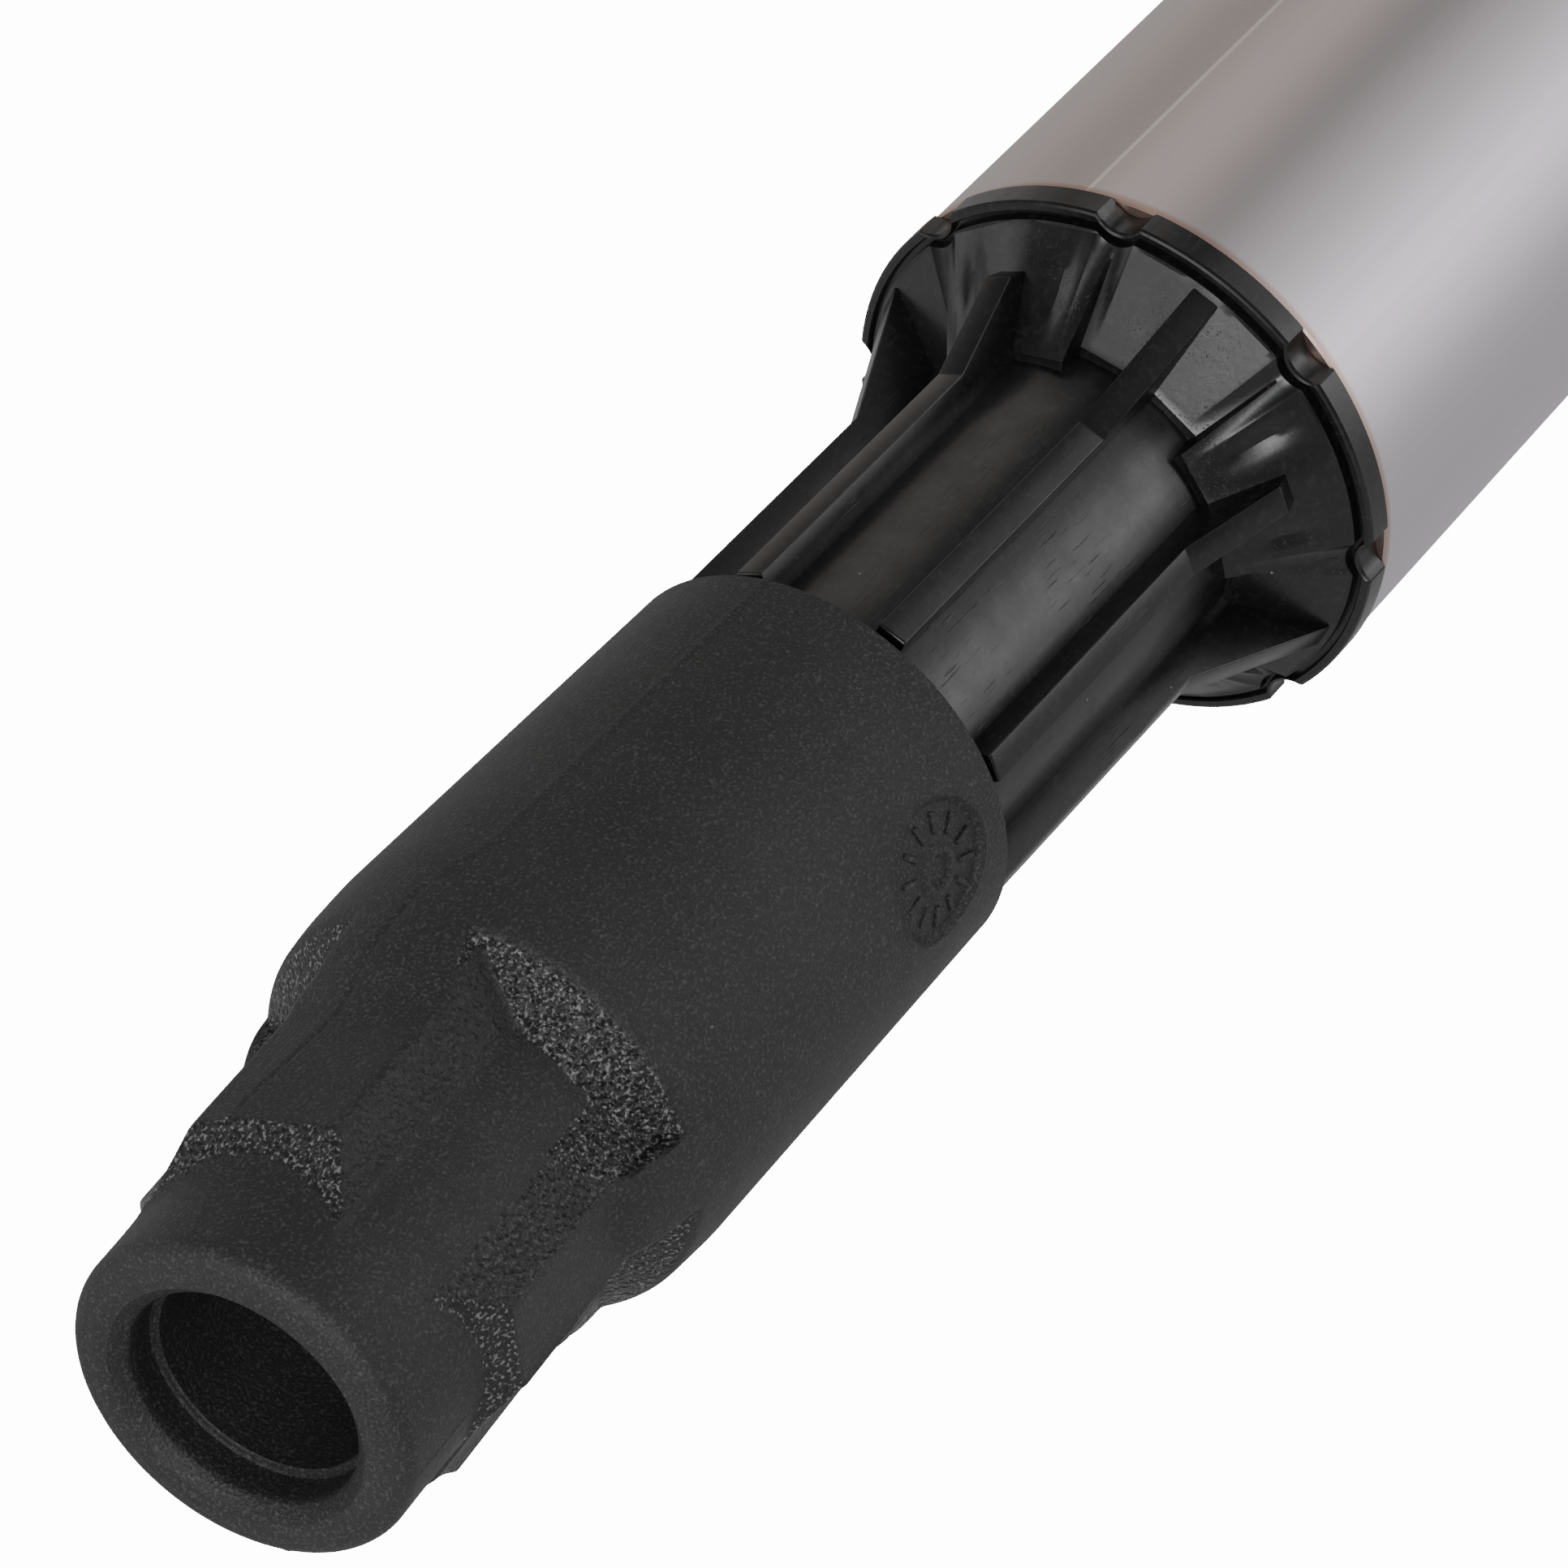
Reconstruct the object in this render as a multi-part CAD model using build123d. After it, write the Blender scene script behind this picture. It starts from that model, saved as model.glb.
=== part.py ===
from build123d import *
import os
from math import cos, radians, sin

# Two-section telescopic window cleaning pole, lying on its clamp collar and its hand grip.
# Millimetres, +Z up. The pole runs along X: the tool cone points to -X, the hanging eye to +X.
#
# Every piece is modelled along a local Z, the pole's axis, and laid down when it is written:
#   local z = 0  front end of the inner tube, where the tip plug's rim seats; z grows to the rear
#   local x      upwards once the pole lies down
#   turn angles  about local z, from local x
# The origin of the finished part is the bottom centre of the whole pole's box.

# ---- fits ----
FIT = 0.05                # radial clearance of pieces pushed or slid together
GAP = 0.3                 # gap left between pieces that move past each other
LOCATE = 0.1              # air left where a face would otherwise rub

# ---- tubes ----
INNER_OD = 35.0
INNER_WALL = 1.5
INNER_LENGTH = 580.0
OUTER_OD = 41.0
OUTER_WALL = 1.5
OUTER_LENGTH = 600.0
STICK_OUT = 90.0          # inner tube seen in front of the clamp when the pole is stowed
RAIL_HEIGHT = 0.7         # two rails inside the outer tube keep the inner tube from turning
RAIL_WIDTH = 1.6
RAIL_TURNS = (135, 225)

# ---- tip plug: insert, rim, faceted cup, ribbed post ----
INSERT_LENGTH = 45.0
INSERT_WALL = 2.9
RIM_THICK = 2.0
RIM_PROUD = 0.2           # rim stands this much outside the tube
CUP_LENGTH = 4.6
CUP_LIP = 0.9             # rim left outside the cup
NOTCH_R = 1.7
NOTCH_DEPTH = 0.9
RIB_COUNT = 8
RIB_WIDTH = 1.8
RIB_HEIGHT = 1.9
RIB_END_GAP = 1.0         # from the ribs' front ends to the cone
GUSSET_LENGTH = 10.4
POST_R = 10.5
POST_FREE = 27.8          # bare post between the cup and the cone
POST_IN_CONE = 31.5
POST_BORE_R = 7.0
POST_SOLID = 25.0         # solid front end of the post, which takes the screw

# ---- tool cone ----
CONE_REAR_R = 13.05
CONE_MAX_R = 13.62
CONE_TAPER = 28.0
CONE_SHOULDER = 11.6
CONE_WEB = 4.0            # wall between the post's end and the nose bore
NOSE_R = 10.05
NOSE_CROSS = 30.3         # from the cone's rear rim to where the nose's axis crosses the pole's
NOSE_LENGTH = 27.6
NOSE_TILT = 6.4
NOSE_TURN = 63.0          # the side the nose leans to
NOSE_ROUND = 1.2
SPLINE_TURNS = (-18, 84, 162, 264)
SPLINE_R = 11.2
SPLINE_CREST = (4.0, 2.6) # half-widths at the crest, wide and narrow splines in turn
SPLINE_BASE = (5.2, 5.3)
SPLINE_END = 18.0         # where a spline's crest ends and its ramp begins
SPLINE_RAMP = 1.5
BAYS = ((28, 64), (117, 54), (208, 64), (297, 54))  # shoulder cut back: middle turn and span
BAY_START = 4.7
BAY_RISE = 2.4
NOSE_BORE_R = 6.3
NOSE_BORE_LENGTH = 14.0
NOSE_MOUTH_R = 6.75
NOSE_MOUTH_DEPTH = 3.0
NOSE_MOUTH_CHAMFER = 0.9
STAMP_R = 4.0
STAMP_DEPTH = 0.35
STAMP_SET_BACK = 6.3
STAMP_TURN = 75.0

# ---- cone screw ----
SCREW_R = 2.95
SCREW_HEAD_R = 4.9
SCREW_HEAD = 3.2
SCREW_HEX_R = 2.3
WASHER_R = 5.7
WASHER_THICK = 1.2
SPOT_FACE = 3.0
RELIEF_R = 6.8             # room round the screw's head, behind the nose bore

# ---- clamp collar ----
COLLAR_WALL = 5.0
COLLAR_LENGTH = 75.0
COLLAR_OVER_TUBE = 62.0
COLLAR_FLAT = 1.0         # flats at the bottom and the sides, cut this deep
HOUSING_LENGTH = 44.0
HOUSING_HALF = 13.5
HOUSING_RISE = 0.5
CAP_PLATE = 3.0
CAP_SKIRT = 7.0
CAP_WALL = 1.9
KNURLS = 24
KNURL_R = 0.8
WIPER_THICK = 2.45
WIPER_GAP = 0.3
BUSH_TAIL = 10.0
COLLAR_SCREW_R = 1.5
COLLAR_SCREW_HEAD_R = 3.0
COLLAR_SCREW_SET_BACK = 6.0
COLLAR_SCREW_STICK_IN = 0.7

# ---- clamp lever, its cam and the brake shoe ----
SHOE_SET_BACK = 36.0      # from the collar's spigot shoulder to the middle of the shoe
SHOE_LENGTH = 24.4
SHOE_HALF = 6.0
SHOE_HEAD_LENGTH = 34.4
SHOE_HEAD_HALF = 7.7
SHOE_HEAD_THICK = 1.8
SHOE_LIFT = 0.8
PAD_THICK = 1.2
SHOE_TOP = 6.9            # shoe's top above the inner tube
WEAR_PLATE = 1.2
CAM_R = 5.8
CAM_OFFSET = 0.522
CAM_PHASE = 40.0
PIN_R = 2.0
EAR_THICK = 4.7
EAR_R = 5.5
LEVER_HALF = 8.0
LEVER_LENGTH = 70.0
LEVER_ARM = 5.9
LEVER_ROUND = 1.0
PAD_LENGTH = 38.0
PAD_PROUD = 0.4
PAD_DEPTH = 1.0
CLIP_R = 4.0
CLIP_THICK = 0.8
SPRING_R = 1.5
SPRING_WIRE = 0.25
SPRING_TURNS = 2.5

# ---- guide rings and rear plug on the inner tube ----
GUIDE_LENGTH = 14.0
GUIDE_SPREAD = 50.0
EXTEND = 350.0            # travel from stowed to the stop
REAR_PLUG_LENGTH = 14.0
REAR_PLUG_FLANGE = 4.0
GUIDE_PIN_R = 1.25

# ---- hand grip and end cap ----
GRIP_LENGTH = 133.0
GRIP_WALL = 3.95
GRIP_GROOVES = 11
GRIP_GROOVE_WIDTH = 2.4
GRIP_GROOVE_DEPTH = 0.9
TRIM_LENGTH = 5.0
END_INSERT = 30.0
END_WALL = 3.0
END_FLANGE = 6.0
EYE_R = 13.0
EYE_HOLE_R = 6.5
EYE_HALF_THICK = 4.5
EYE_REACH = 14.0
RIVET_R = 2.0
RIVET_SET_IN = 15.0

# ---- sizes that follow ----
inner_r = INNER_OD / 2
inner_bore = inner_r - INNER_WALL
outer_r = OUTER_OD / 2
outer_bore = outer_r - OUTER_WALL
rim_r = inner_r + RIM_PROUD
z_cup = -RIM_THICK - CUP_LENGTH
z_cone_rear = z_cup - POST_FREE
z_post_front = z_cone_rear - POST_IN_CONE
z_web = z_post_front - LOCATE - CONE_WEB
z_nose = z_cone_rear - NOSE_CROSS

z_cap = STICK_OUT
z_collar = z_cap + CAP_PLATE
z_shoulder = z_collar + CAP_SKIRT
z_tube = z_collar + COLLAR_LENGTH - COLLAR_OVER_TUBE
z_collar_rear = z_collar + COLLAR_LENGTH
z_shoe = z_shoulder + SHOE_SET_BACK
z_tube_rear = z_tube + OUTER_LENGTH
collar_bore = outer_r + FIT
collar_r = collar_bore + COLLAR_WALL
axis_height = collar_r - COLLAR_FLAT
housing_top = collar_r + HOUSING_RISE
shoe_top = inner_r + SHOE_TOP
pin_x = shoe_top + WEAR_PLATE + GAP + CAM_R + CAM_OFFSET * cos(radians(CAM_PHASE))
cam_centre = (pin_x - CAM_OFFSET * cos(radians(CAM_PHASE)),
              z_shoe + CAM_OFFSET * sin(radians(CAM_PHASE)))
ear_inside = LEVER_HALF + GAP
ear_outside = ear_inside + EAR_THICK
z_screws = z_collar_rear - COLLAR_SCREW_SET_BACK
z_stop_ring = z_screws + COLLAR_SCREW_R + GAP + EXTEND
guide_r = outer_bore - FIT
grip_r = collar_r - COLLAR_FLAT

nose_lean = Plane(
    origin=(0, 0, z_nose),
    x_dir=(1, 0, 0),
    z_dir=(sin(radians(NOSE_TILT)) * cos(radians(NOSE_TURN)),
           sin(radians(NOSE_TILT)) * sin(radians(NOSE_TURN)),
           -cos(radians(NOSE_TILT))),
).location


# ---- shapes used throughout ----
def rod(radius, z0, z1):
    """Round bar along the pole from z0 to z1."""
    return Pos(Z=z0) * Cylinder(radius, z1 - z0, align=(Align.CENTER, Align.CENTER, Align.MIN))


def ring(inside, outside, z0, z1):
    """Sleeve along the pole."""
    return rod(outside, z0, z1) - rod(inside, z0 - 1, z1 + 1)


def block(x0, x1, y0, y1, z0, z1):
    """Box between two corners."""
    size = Box(x1 - x0, y1 - y0, z1 - z0, align=(Align.MIN, Align.MIN, Align.MIN))
    return Pos(x0, y0, z0) * size


def plate(points, half_width):
    """Flat plate: an outline in (x, z), thickened evenly along y."""
    outline = make_face(Polyline(*points, close=True))
    return extrude(Plane.XZ * outline, half_width, both=True)


def cross_bar(radius, x, z, half_length):
    """Round bar along y."""
    return Pos(x, 0, z) * Rot(X=90) * Cylinder(radius, 2 * half_length)


def radial_pin(radius, turn, z, r0, r1):
    """Round bar standing on the pole's axis, from radius r0 to r1."""
    bar = Cylinder(radius, r1 - r0, align=(Align.CENTER, Align.CENTER, Align.MIN))
    return Rot(Z=turn) * Pos(r0, 0, z) * Rot(Y=90) * bar


def rails(clearance, z0, z1):
    """The two rails inside the outer tube, or their grooves when a clearance is given."""
    low = outer_bore - RAIL_HEIGHT - clearance
    half = RAIL_WIDTH / 2 + clearance
    shape = [Rot(Z=turn) * block(low, outer_bore + OUTER_WALL / 2, -half, half, z0, z1)
             for turn in RAIL_TURNS]
    return shape[0] + shape[1]


# ---- inner tube and what rides on it ----
def inner_tube():
    """Anodised tube that slides in the outer one."""
    tube = ring(inner_bore, inner_r, 0, INNER_LENGTH)
    for z in guide_pin_places():
        for turn in (0, 180):
            tube -= radial_pin(GUIDE_PIN_R + FIT, turn, z, inner_bore - 1, inner_r + 1)
    return tube


def guide_pin_places():
    """Middles of the stop ring and the rear guide ring."""
    return (z_stop_ring + GUIDE_LENGTH / 2, z_stop_ring + GUIDE_SPREAD + GUIDE_LENGTH / 2)


def tip_plug():
    """Moulded plug: insert in the tube, notched rim, faceted cup and ribbed post."""
    insert_r = inner_bore - FIT
    cup_r = rim_r - CUP_LIP
    body = rod(insert_r, -0.5, INSERT_LENGTH) + rod(rim_r, -RIM_THICK, 0)
    for k in range(RIB_COUNT):
        turn = k * 360 / RIB_COUNT
        centre = rim_r + NOTCH_R - NOTCH_DEPTH
        body -= Rot(Z=turn) * Pos(centre, 0, -RIM_THICK / 2) * Cylinder(NOTCH_R, RIM_THICK)
    body -= rod(insert_r - INSERT_WALL, INSERT_WALL, INSERT_LENGTH + 1)
    facets = 2 * RIB_COUNT
    cup = loft(
        [Pos(Z=z_cup) * RegularPolygon(POST_R + 0.8, facets),
         Pos(Z=-RIM_THICK) * RegularPolygon(cup_r, facets)], ruled=True)
    body += cup + rod(POST_R, z_post_front, z_cup + 1)
    crest = POST_R + RIB_HEIGHT
    z_rib = z_cone_rear + RIB_END_GAP
    rib = plate([(POST_R - 1, z_rib), (crest, z_rib), (crest, -RIM_THICK - GUSSET_LENGTH),
                 (cup_r - 0.3, -RIM_THICK), (POST_R - 1, -RIM_THICK)], RIB_WIDTH / 2)
    for k in range(RIB_COUNT):
        body += Rot(Z=(k + 0.5) * 360 / RIB_COUNT) * rib
    body -= rod(POST_BORE_R, z_post_front + POST_SOLID, INSERT_WALL + 1)
    body -= rod(SCREW_R + FIT, z_post_front - 1, z_post_front + POST_SOLID - 2)
    return body


def cone_body():
    """Turned outline of the cone: a slow taper, then a round shoulder."""
    z_max = z_cone_rear - CONE_TAPER
    z_end = z_max - CONE_SHOULDER
    edge = Polyline((0, z_cone_rear), (CONE_REAR_R, z_cone_rear), (CONE_MAX_R, z_max))
    shoulder = Spline(
        (CONE_MAX_R, z_max),
        (CONE_MAX_R - 0.75, z_max - 0.6 * CONE_SHOULDER),
        (NOSE_R + 0.4, z_end),
        tangents=((0, -1), (-1, -0.7)))
    close = Polyline((NOSE_R + 0.4, z_end), (0, z_end), (0, z_cone_rear))
    return revolve(Plane.XZ * make_face([edge, shoulder, close]), Axis.Z)


def nose_spline(index):
    """One of the four splines on the nose, with its ramped front end; nose coordinates."""
    crest = SPLINE_CREST[index % 2]
    base = SPLINE_BASE[index % 2]
    root = NOSE_R - 1.5
    slope = SPLINE_RAMP / (SPLINE_R - NOSE_R)
    z_root = SPLINE_END + slope * (SPLINE_R - root)
    side = plate([(root, 0), (SPLINE_R, 0), (SPLINE_R, SPLINE_END), (root, z_root)], base + 1)
    section = make_face(Polyline((root, -base - 0.6), (SPLINE_R, -crest), (SPLINE_R, crest),
                                 (root, base + 0.6), close=True))
    return side & extrude(section, z_root)


def pole_cone():
    """Tool cone: hollow body over the post, leaning nose with splines and a bore."""
    body = cone_body()
    bay = make_face(Polyline(
        (NOSE_R, BAY_START), (NOSE_R + 5, BAY_START - BAY_RISE * 1.6),
        (NOSE_R + 5, NOSE_LENGTH), (NOSE_R, NOSE_LENGTH), close=True))
    for turn, span in BAYS:
        cut = revolve(Plane.XZ * bay, Axis.Z, revolution_arc=span)
        body -= nose_lean * Rot(Z=-turn - span / 2) * cut
    nose = rod(NOSE_R, 0, NOSE_LENGTH)
    nose = fillet(nose.edges().sort_by(Axis.Z)[-1], NOSE_ROUND)
    body += nose_lean * nose
    for index, turn in enumerate(SPLINE_TURNS):
        body += nose_lean * Rot(Z=-turn) * nose_spline(index)
    body -= rod(POST_R + FIT, z_post_front - LOCATE, z_cone_rear + 1)
    body -= rod(SCREW_R + 2 * FIT, z_web - 1, z_post_front)
    body -= rod(WASHER_R + 0.3, z_web - SPOT_FACE, z_web)
    bore_start = NOSE_LENGTH - NOSE_MOUTH_DEPTH - NOSE_BORE_LENGTH
    body -= nose_lean * rod(RELIEF_R, z_nose - z_web + 1.2, bore_start)
    body -= nose_lean * rod(NOSE_BORE_R, bore_start - 1, NOSE_LENGTH + 1)
    body -= nose_lean * rod(NOSE_MOUTH_R, NOSE_LENGTH - NOSE_MOUTH_DEPTH, NOSE_LENGTH + 1)
    mouth = Cone(NOSE_MOUTH_R, NOSE_MOUTH_R + 2 * NOSE_MOUTH_CHAMFER, 2 * NOSE_MOUTH_CHAMFER)
    body -= nose_lean * Pos(Z=NOSE_LENGTH) * mouth
    stamp_r = CONE_REAR_R + (CONE_MAX_R - CONE_REAR_R) * STAMP_SET_BACK / CONE_TAPER
    z_stamp = z_cone_rear - STAMP_SET_BACK
    stamp = radial_pin(STAMP_R, STAMP_TURN, z_stamp, stamp_r - 3, stamp_r + 3)
    shell = ring(stamp_r - STAMP_DEPTH, stamp_r + 3, z_stamp - 6, z_stamp + 6)
    return body - (stamp & shell)


def cone_screw():
    """Socket head screw from the nose bore into the post."""
    z_head = z_web - WASHER_THICK
    screw = rod(SCREW_R, z_head, z_post_front + POST_SOLID - 4)
    screw += rod(SCREW_HEAD_R, z_head - SCREW_HEAD, z_head)
    socket = Pos(Z=z_head - SCREW_HEAD) * extrude(RegularPolygon(SCREW_HEX_R, 6), SCREW_HEAD / 2)
    return screw - socket


def cone_washer():
    """Washer under the screw's head."""
    return ring(SCREW_R + FIT, WASHER_R, z_web - WASHER_THICK, z_web)


def guide_ring(z0):
    """Nylon slide ring on the inner tube, grooved for the rails."""
    body = ring(inner_r + FIT, guide_r, z0, z0 + GUIDE_LENGTH)
    body -= rails(GAP, z0 - 1, z0 + GUIDE_LENGTH + 1)
    for turn in (0, 180):
        body -= radial_pin(GUIDE_PIN_R + FIT, turn, z0 + GUIDE_LENGTH / 2, inner_r - 1, guide_r + 1)
    return body


def guide_pins():
    """Pins that hold both slide rings on the inner tube."""
    return [radial_pin(GUIDE_PIN_R, turn, z, inner_bore + FIT, guide_r - 0.25)
            for z in guide_pin_places() for turn in (0, 180)]


def rear_plug():
    """Plug that closes the inner tube's hidden end."""
    z0 = INNER_LENGTH
    body = rod(inner_bore - FIT, z0 - REAR_PLUG_LENGTH, z0)
    body += rod(inner_r - 0.2, z0, z0 + REAR_PLUG_FLANGE)
    return body - rod(inner_bore - 2.5, z0 - REAR_PLUG_LENGTH - 1, z0)


# ---- outer tube and the clamp ----
def outer_tube():
    """Handle tube with its two inner rails and the slot for the brake shoe."""
    tube = ring(outer_bore, outer_r, z_tube, z_tube_rear)
    tube += rails(0, z_tube, z_tube_rear)
    half = SHOE_HALF + GAP
    reach = SHOE_LENGTH / 2 + GAP
    tube -= block(outer_bore - 2, outer_r + 2, -half, half, z_shoe - reach, z_shoe + reach)
    for turn in (90, 270):
        tube -= radial_pin(COLLAR_SCREW_R + FIT, turn, z_screws, outer_bore - 1, outer_r + 1)
    for turn in (90, 270):
        tube -= radial_pin(RIVET_R + FIT, turn, z_tube_rear - RIVET_SET_IN,
                           outer_bore - 1, outer_r + 1)
    return tube


def guide_bush():
    """Nylon bush that carries the inner tube at the mouth."""
    front = z_collar + WIPER_THICK
    bush = ring(inner_r + FIT, outer_r, front, z_tube)
    tail = ring(inner_r + FIT, outer_bore - RAIL_HEIGHT - FIT, z_tube, z_tube + BUSH_TAIL)
    return bush + tail


def wiper_ring():
    """Rubber ring that wipes the inner tube."""
    return ring(inner_r + WIPER_GAP, outer_r, z_collar, z_collar + WIPER_THICK)


def collar_cap():
    """Knurled cap that holds the wiper and the bush in the collar."""
    cap = ring(inner_r + 0.8, axis_height, z_cap, z_collar)
    cap += ring(axis_height - CAP_WALL, axis_height, z_collar, z_shoulder)
    cap = chamfer(cap.edges().filter_by(GeomType.CIRCLE).group_by(Axis.Z)[0][-1], 0.8)
    for k in range(KNURLS):
        cap -= Rot(Z=k * 360 / KNURLS) * Pos(axis_height + 0.3, 0, z_cap + 5.5) * Cylinder(KNURL_R, 7)
    return cap


def clamp_collar():
    """Clamp body on the outer tube's mouth, with the shoe's window and the lever's ears."""
    flat = collar_r - COLLAR_FLAT
    body = rod(collar_r, z_shoulder, z_collar_rear)
    body = chamfer(body.edges().filter_by(GeomType.CIRCLE).sort_by(Axis.Z)[-1], 1.5)
    body &= block(-flat, collar_r + 5, -flat, flat, z_shoulder, z_collar_rear)
    body += rod(axis_height - CAP_WALL - FIT, z_collar, z_shoulder)
    half = HOUSING_LENGTH / 2
    housing = block(0, housing_top, -HOUSING_HALF, HOUSING_HALF, z_shoe - half, z_shoe + half)
    body += fillet(housing.edges().filter_by(Axis.X), 3)
    ear = block(collar_r - 6, pin_x, -ear_outside, ear_outside, z_shoe - EAR_R, z_shoe + EAR_R)
    ear += cross_bar(EAR_R, pin_x, z_shoe, ear_outside)
    room = block(housing_top, pin_x + 20, -ear_inside, ear_inside, z_shoe - 20, z_shoe + 20)
    body += ear - room
    body -= rod(collar_bore, z_collar - 1, z_collar_rear + 1)
    pocket = SHOE_HEAD_LENGTH / 2 + GAP
    wide = SHOE_HEAD_HALF + GAP
    body -= block(0, pin_x + 20, -wide, wide, z_shoe - pocket, z_shoe + pocket)
    body -= cross_bar(PIN_R + FIT, pin_x, z_shoe, ear_outside + 1)
    for turn in (90, 270):
        body -= radial_pin(COLLAR_SCREW_R + FIT, turn, z_screws, outer_r - 1, collar_r + 1)
        body -= radial_pin(COLLAR_SCREW_HEAD_R + GAP, turn, z_screws, flat - 2.2, collar_r + 1)
    return body


def collar_screws():
    """Two screws through the collar and the tube; their tips stop the slide ring."""
    flat = collar_r - COLLAR_FLAT
    screws = []
    for turn in (90, 270):
        screw = radial_pin(COLLAR_SCREW_R, turn, z_screws, outer_bore - COLLAR_SCREW_STICK_IN, flat - 2)
        screw += radial_pin(COLLAR_SCREW_HEAD_R, turn, z_screws, flat - 2.2, flat - 0.3)
        slot = Rot(Z=turn) * block(flat - 1.2, flat, -2.0, 2.0, z_screws - 0.4, z_screws + 0.4)
        screws.append(screw - slot)
    return screws


def lever_pin():
    """Steel pin through the ears and the lever."""
    return cross_bar(PIN_R, pin_x, z_shoe, ear_outside + CLIP_THICK + 1)


def pin_clips():
    """Snap rings on both ends of the lever pin."""
    y = ear_outside + CLIP_THICK / 2 + LOCATE
    disc = cross_bar(CLIP_R, pin_x, z_shoe, CLIP_THICK / 2) - cross_bar(PIN_R + FIT, pin_x, z_shoe, 2)
    disc -= block(pin_x, pin_x + 6, -2, 2, z_shoe - 0.8, z_shoe + 0.8)
    return [Pos(Y=side * y) * disc for side in (-1, 1)]


def clamp_lever():
    """Cam lever, closed along the tube."""
    low = pin_x - LEVER_ARM + 1.7
    top = low + LEVER_ARM
    z_tail = z_shoe + LEVER_LENGTH
    arm = plate([(low, z_shoe + 2), (low, z_tail - 28), (low + 2.6, z_tail - 4),
                 (top + 0.6, z_tail), (top + 1.6, z_tail - 2.5), (top, z_tail - 12),
                 (top, z_shoe + 12), (pin_x + 4.6, z_shoe)], LEVER_HALF)
    arm = fillet(arm.edges().filter_by(Axis.Y).sort_by(Axis.Z)[2:], LEVER_ROUND)
    hub = cross_bar(CAM_R, cam_centre[0], cam_centre[1], LEVER_HALF)
    lever = arm + hub - cross_bar(PIN_R + FIT, pin_x, z_shoe, LEVER_HALF + 1)
    z_pad = z_tail - 14 - PAD_LENGTH
    half = LEVER_HALF - 2
    return lever - block(top - PAD_DEPTH, top + 3, -half, half, z_pad, z_pad + PAD_LENGTH)


def lever_pad():
    """Soft thumb pad let into the lever."""
    top = pin_x + 1.7
    z_pad = z_shoe + LEVER_LENGTH - 14 - PAD_LENGTH
    half = LEVER_HALF - 2 - FIT
    pad = block(top - PAD_DEPTH, top + PAD_PROUD, -half, half, z_pad + FIT, z_pad + PAD_LENGTH - FIT)
    for k in range(9):
        z = z_pad + 5 + 3.5 * k
        pad -= cross_bar(0.5, top + PAD_PROUD + 0.2, z, half + 1)
    return pad


def brake_shoe():
    """Shoe that the cam presses through the tube's slot."""
    half = SHOE_LENGTH / 2
    head = SHOE_HEAD_LENGTH / 2
    shoe = block(inner_r - 1, shoe_top, -SHOE_HALF, SHOE_HALF, z_shoe - half, z_shoe + half)
    shoe += block(shoe_top - SHOE_HEAD_THICK, shoe_top, -SHOE_HEAD_HALF, SHOE_HEAD_HALF,
                  z_shoe - head, z_shoe + head)
    return shoe - rod(inner_r + GAP + PAD_THICK, z_shoe - 30, z_shoe + 30)


def brake_pad():
    """Friction pad under the shoe."""
    half = SHOE_LENGTH / 2
    pad = block(0, shoe_top, -SHOE_HALF, SHOE_HALF, z_shoe - half, z_shoe + half)
    return pad & ring(inner_r + GAP, inner_r + GAP + PAD_THICK, z_shoe - 30, z_shoe + 30)


def wear_plate():
    """Steel plate between the cam and the shoe."""
    half = SHOE_LENGTH / 2 - 3
    plate_block = block(shoe_top, shoe_top + WEAR_PLATE, -SHOE_HALF, SHOE_HALF,
                        z_shoe - half, z_shoe + half)
    return fillet(plate_block.edges().filter_by(Axis.X), 1.5)


def shoe_springs():
    """Two small coils that lift the shoe when the lever opens."""
    foot = outer_r + SPRING_WIRE
    height = shoe_top - SHOE_HEAD_THICK - foot - SPRING_WIRE
    path = Helix(pitch=height / SPRING_TURNS, height=height, radius=SPRING_R)
    section = Plane(origin=path @ 0, z_dir=path % 0) * Circle(SPRING_WIRE)
    coil = sweep(section, path=path)
    reach = (SHOE_HEAD_LENGTH + SHOE_LENGTH) / 4
    return [Pos(foot, 0, z_shoe + side * reach) * Rot(Y=90) * coil for side in (-1, 1)]


# ---- hand grip and end cap ----
def hand_grip():
    """Rubber grip with ring grooves."""
    z0 = z_tube_rear - GRIP_LENGTH
    grip = rod(grip_r, z0, z_tube_rear - LOCATE)
    grip = fillet(grip.edges().filter_by(GeomType.CIRCLE), 1.5)
    grip -= rod(outer_r + FIT, z0 - 1, z_tube_rear + 1)
    pitch = (GRIP_LENGTH - 24) / (GRIP_GROOVES - 1)
    for k in range(GRIP_GROOVES):
        z = z0 + 12 + k * pitch
        grip -= ring(grip_r - GRIP_GROOVE_DEPTH, grip_r + 1, z - GRIP_GROOVE_WIDTH / 2,
                     z + GRIP_GROOVE_WIDTH / 2)
    return grip


def grip_trim():
    """Hard ring in front of the grip."""
    z1 = z_tube_rear - GRIP_LENGTH
    trim = ring(outer_r + FIT, grip_r - 1, z1 - TRIM_LENGTH, z1)
    return chamfer(trim.edges().filter_by(GeomType.CIRCLE).group_by(Axis.Z)[0][-1], 1.2)


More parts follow.
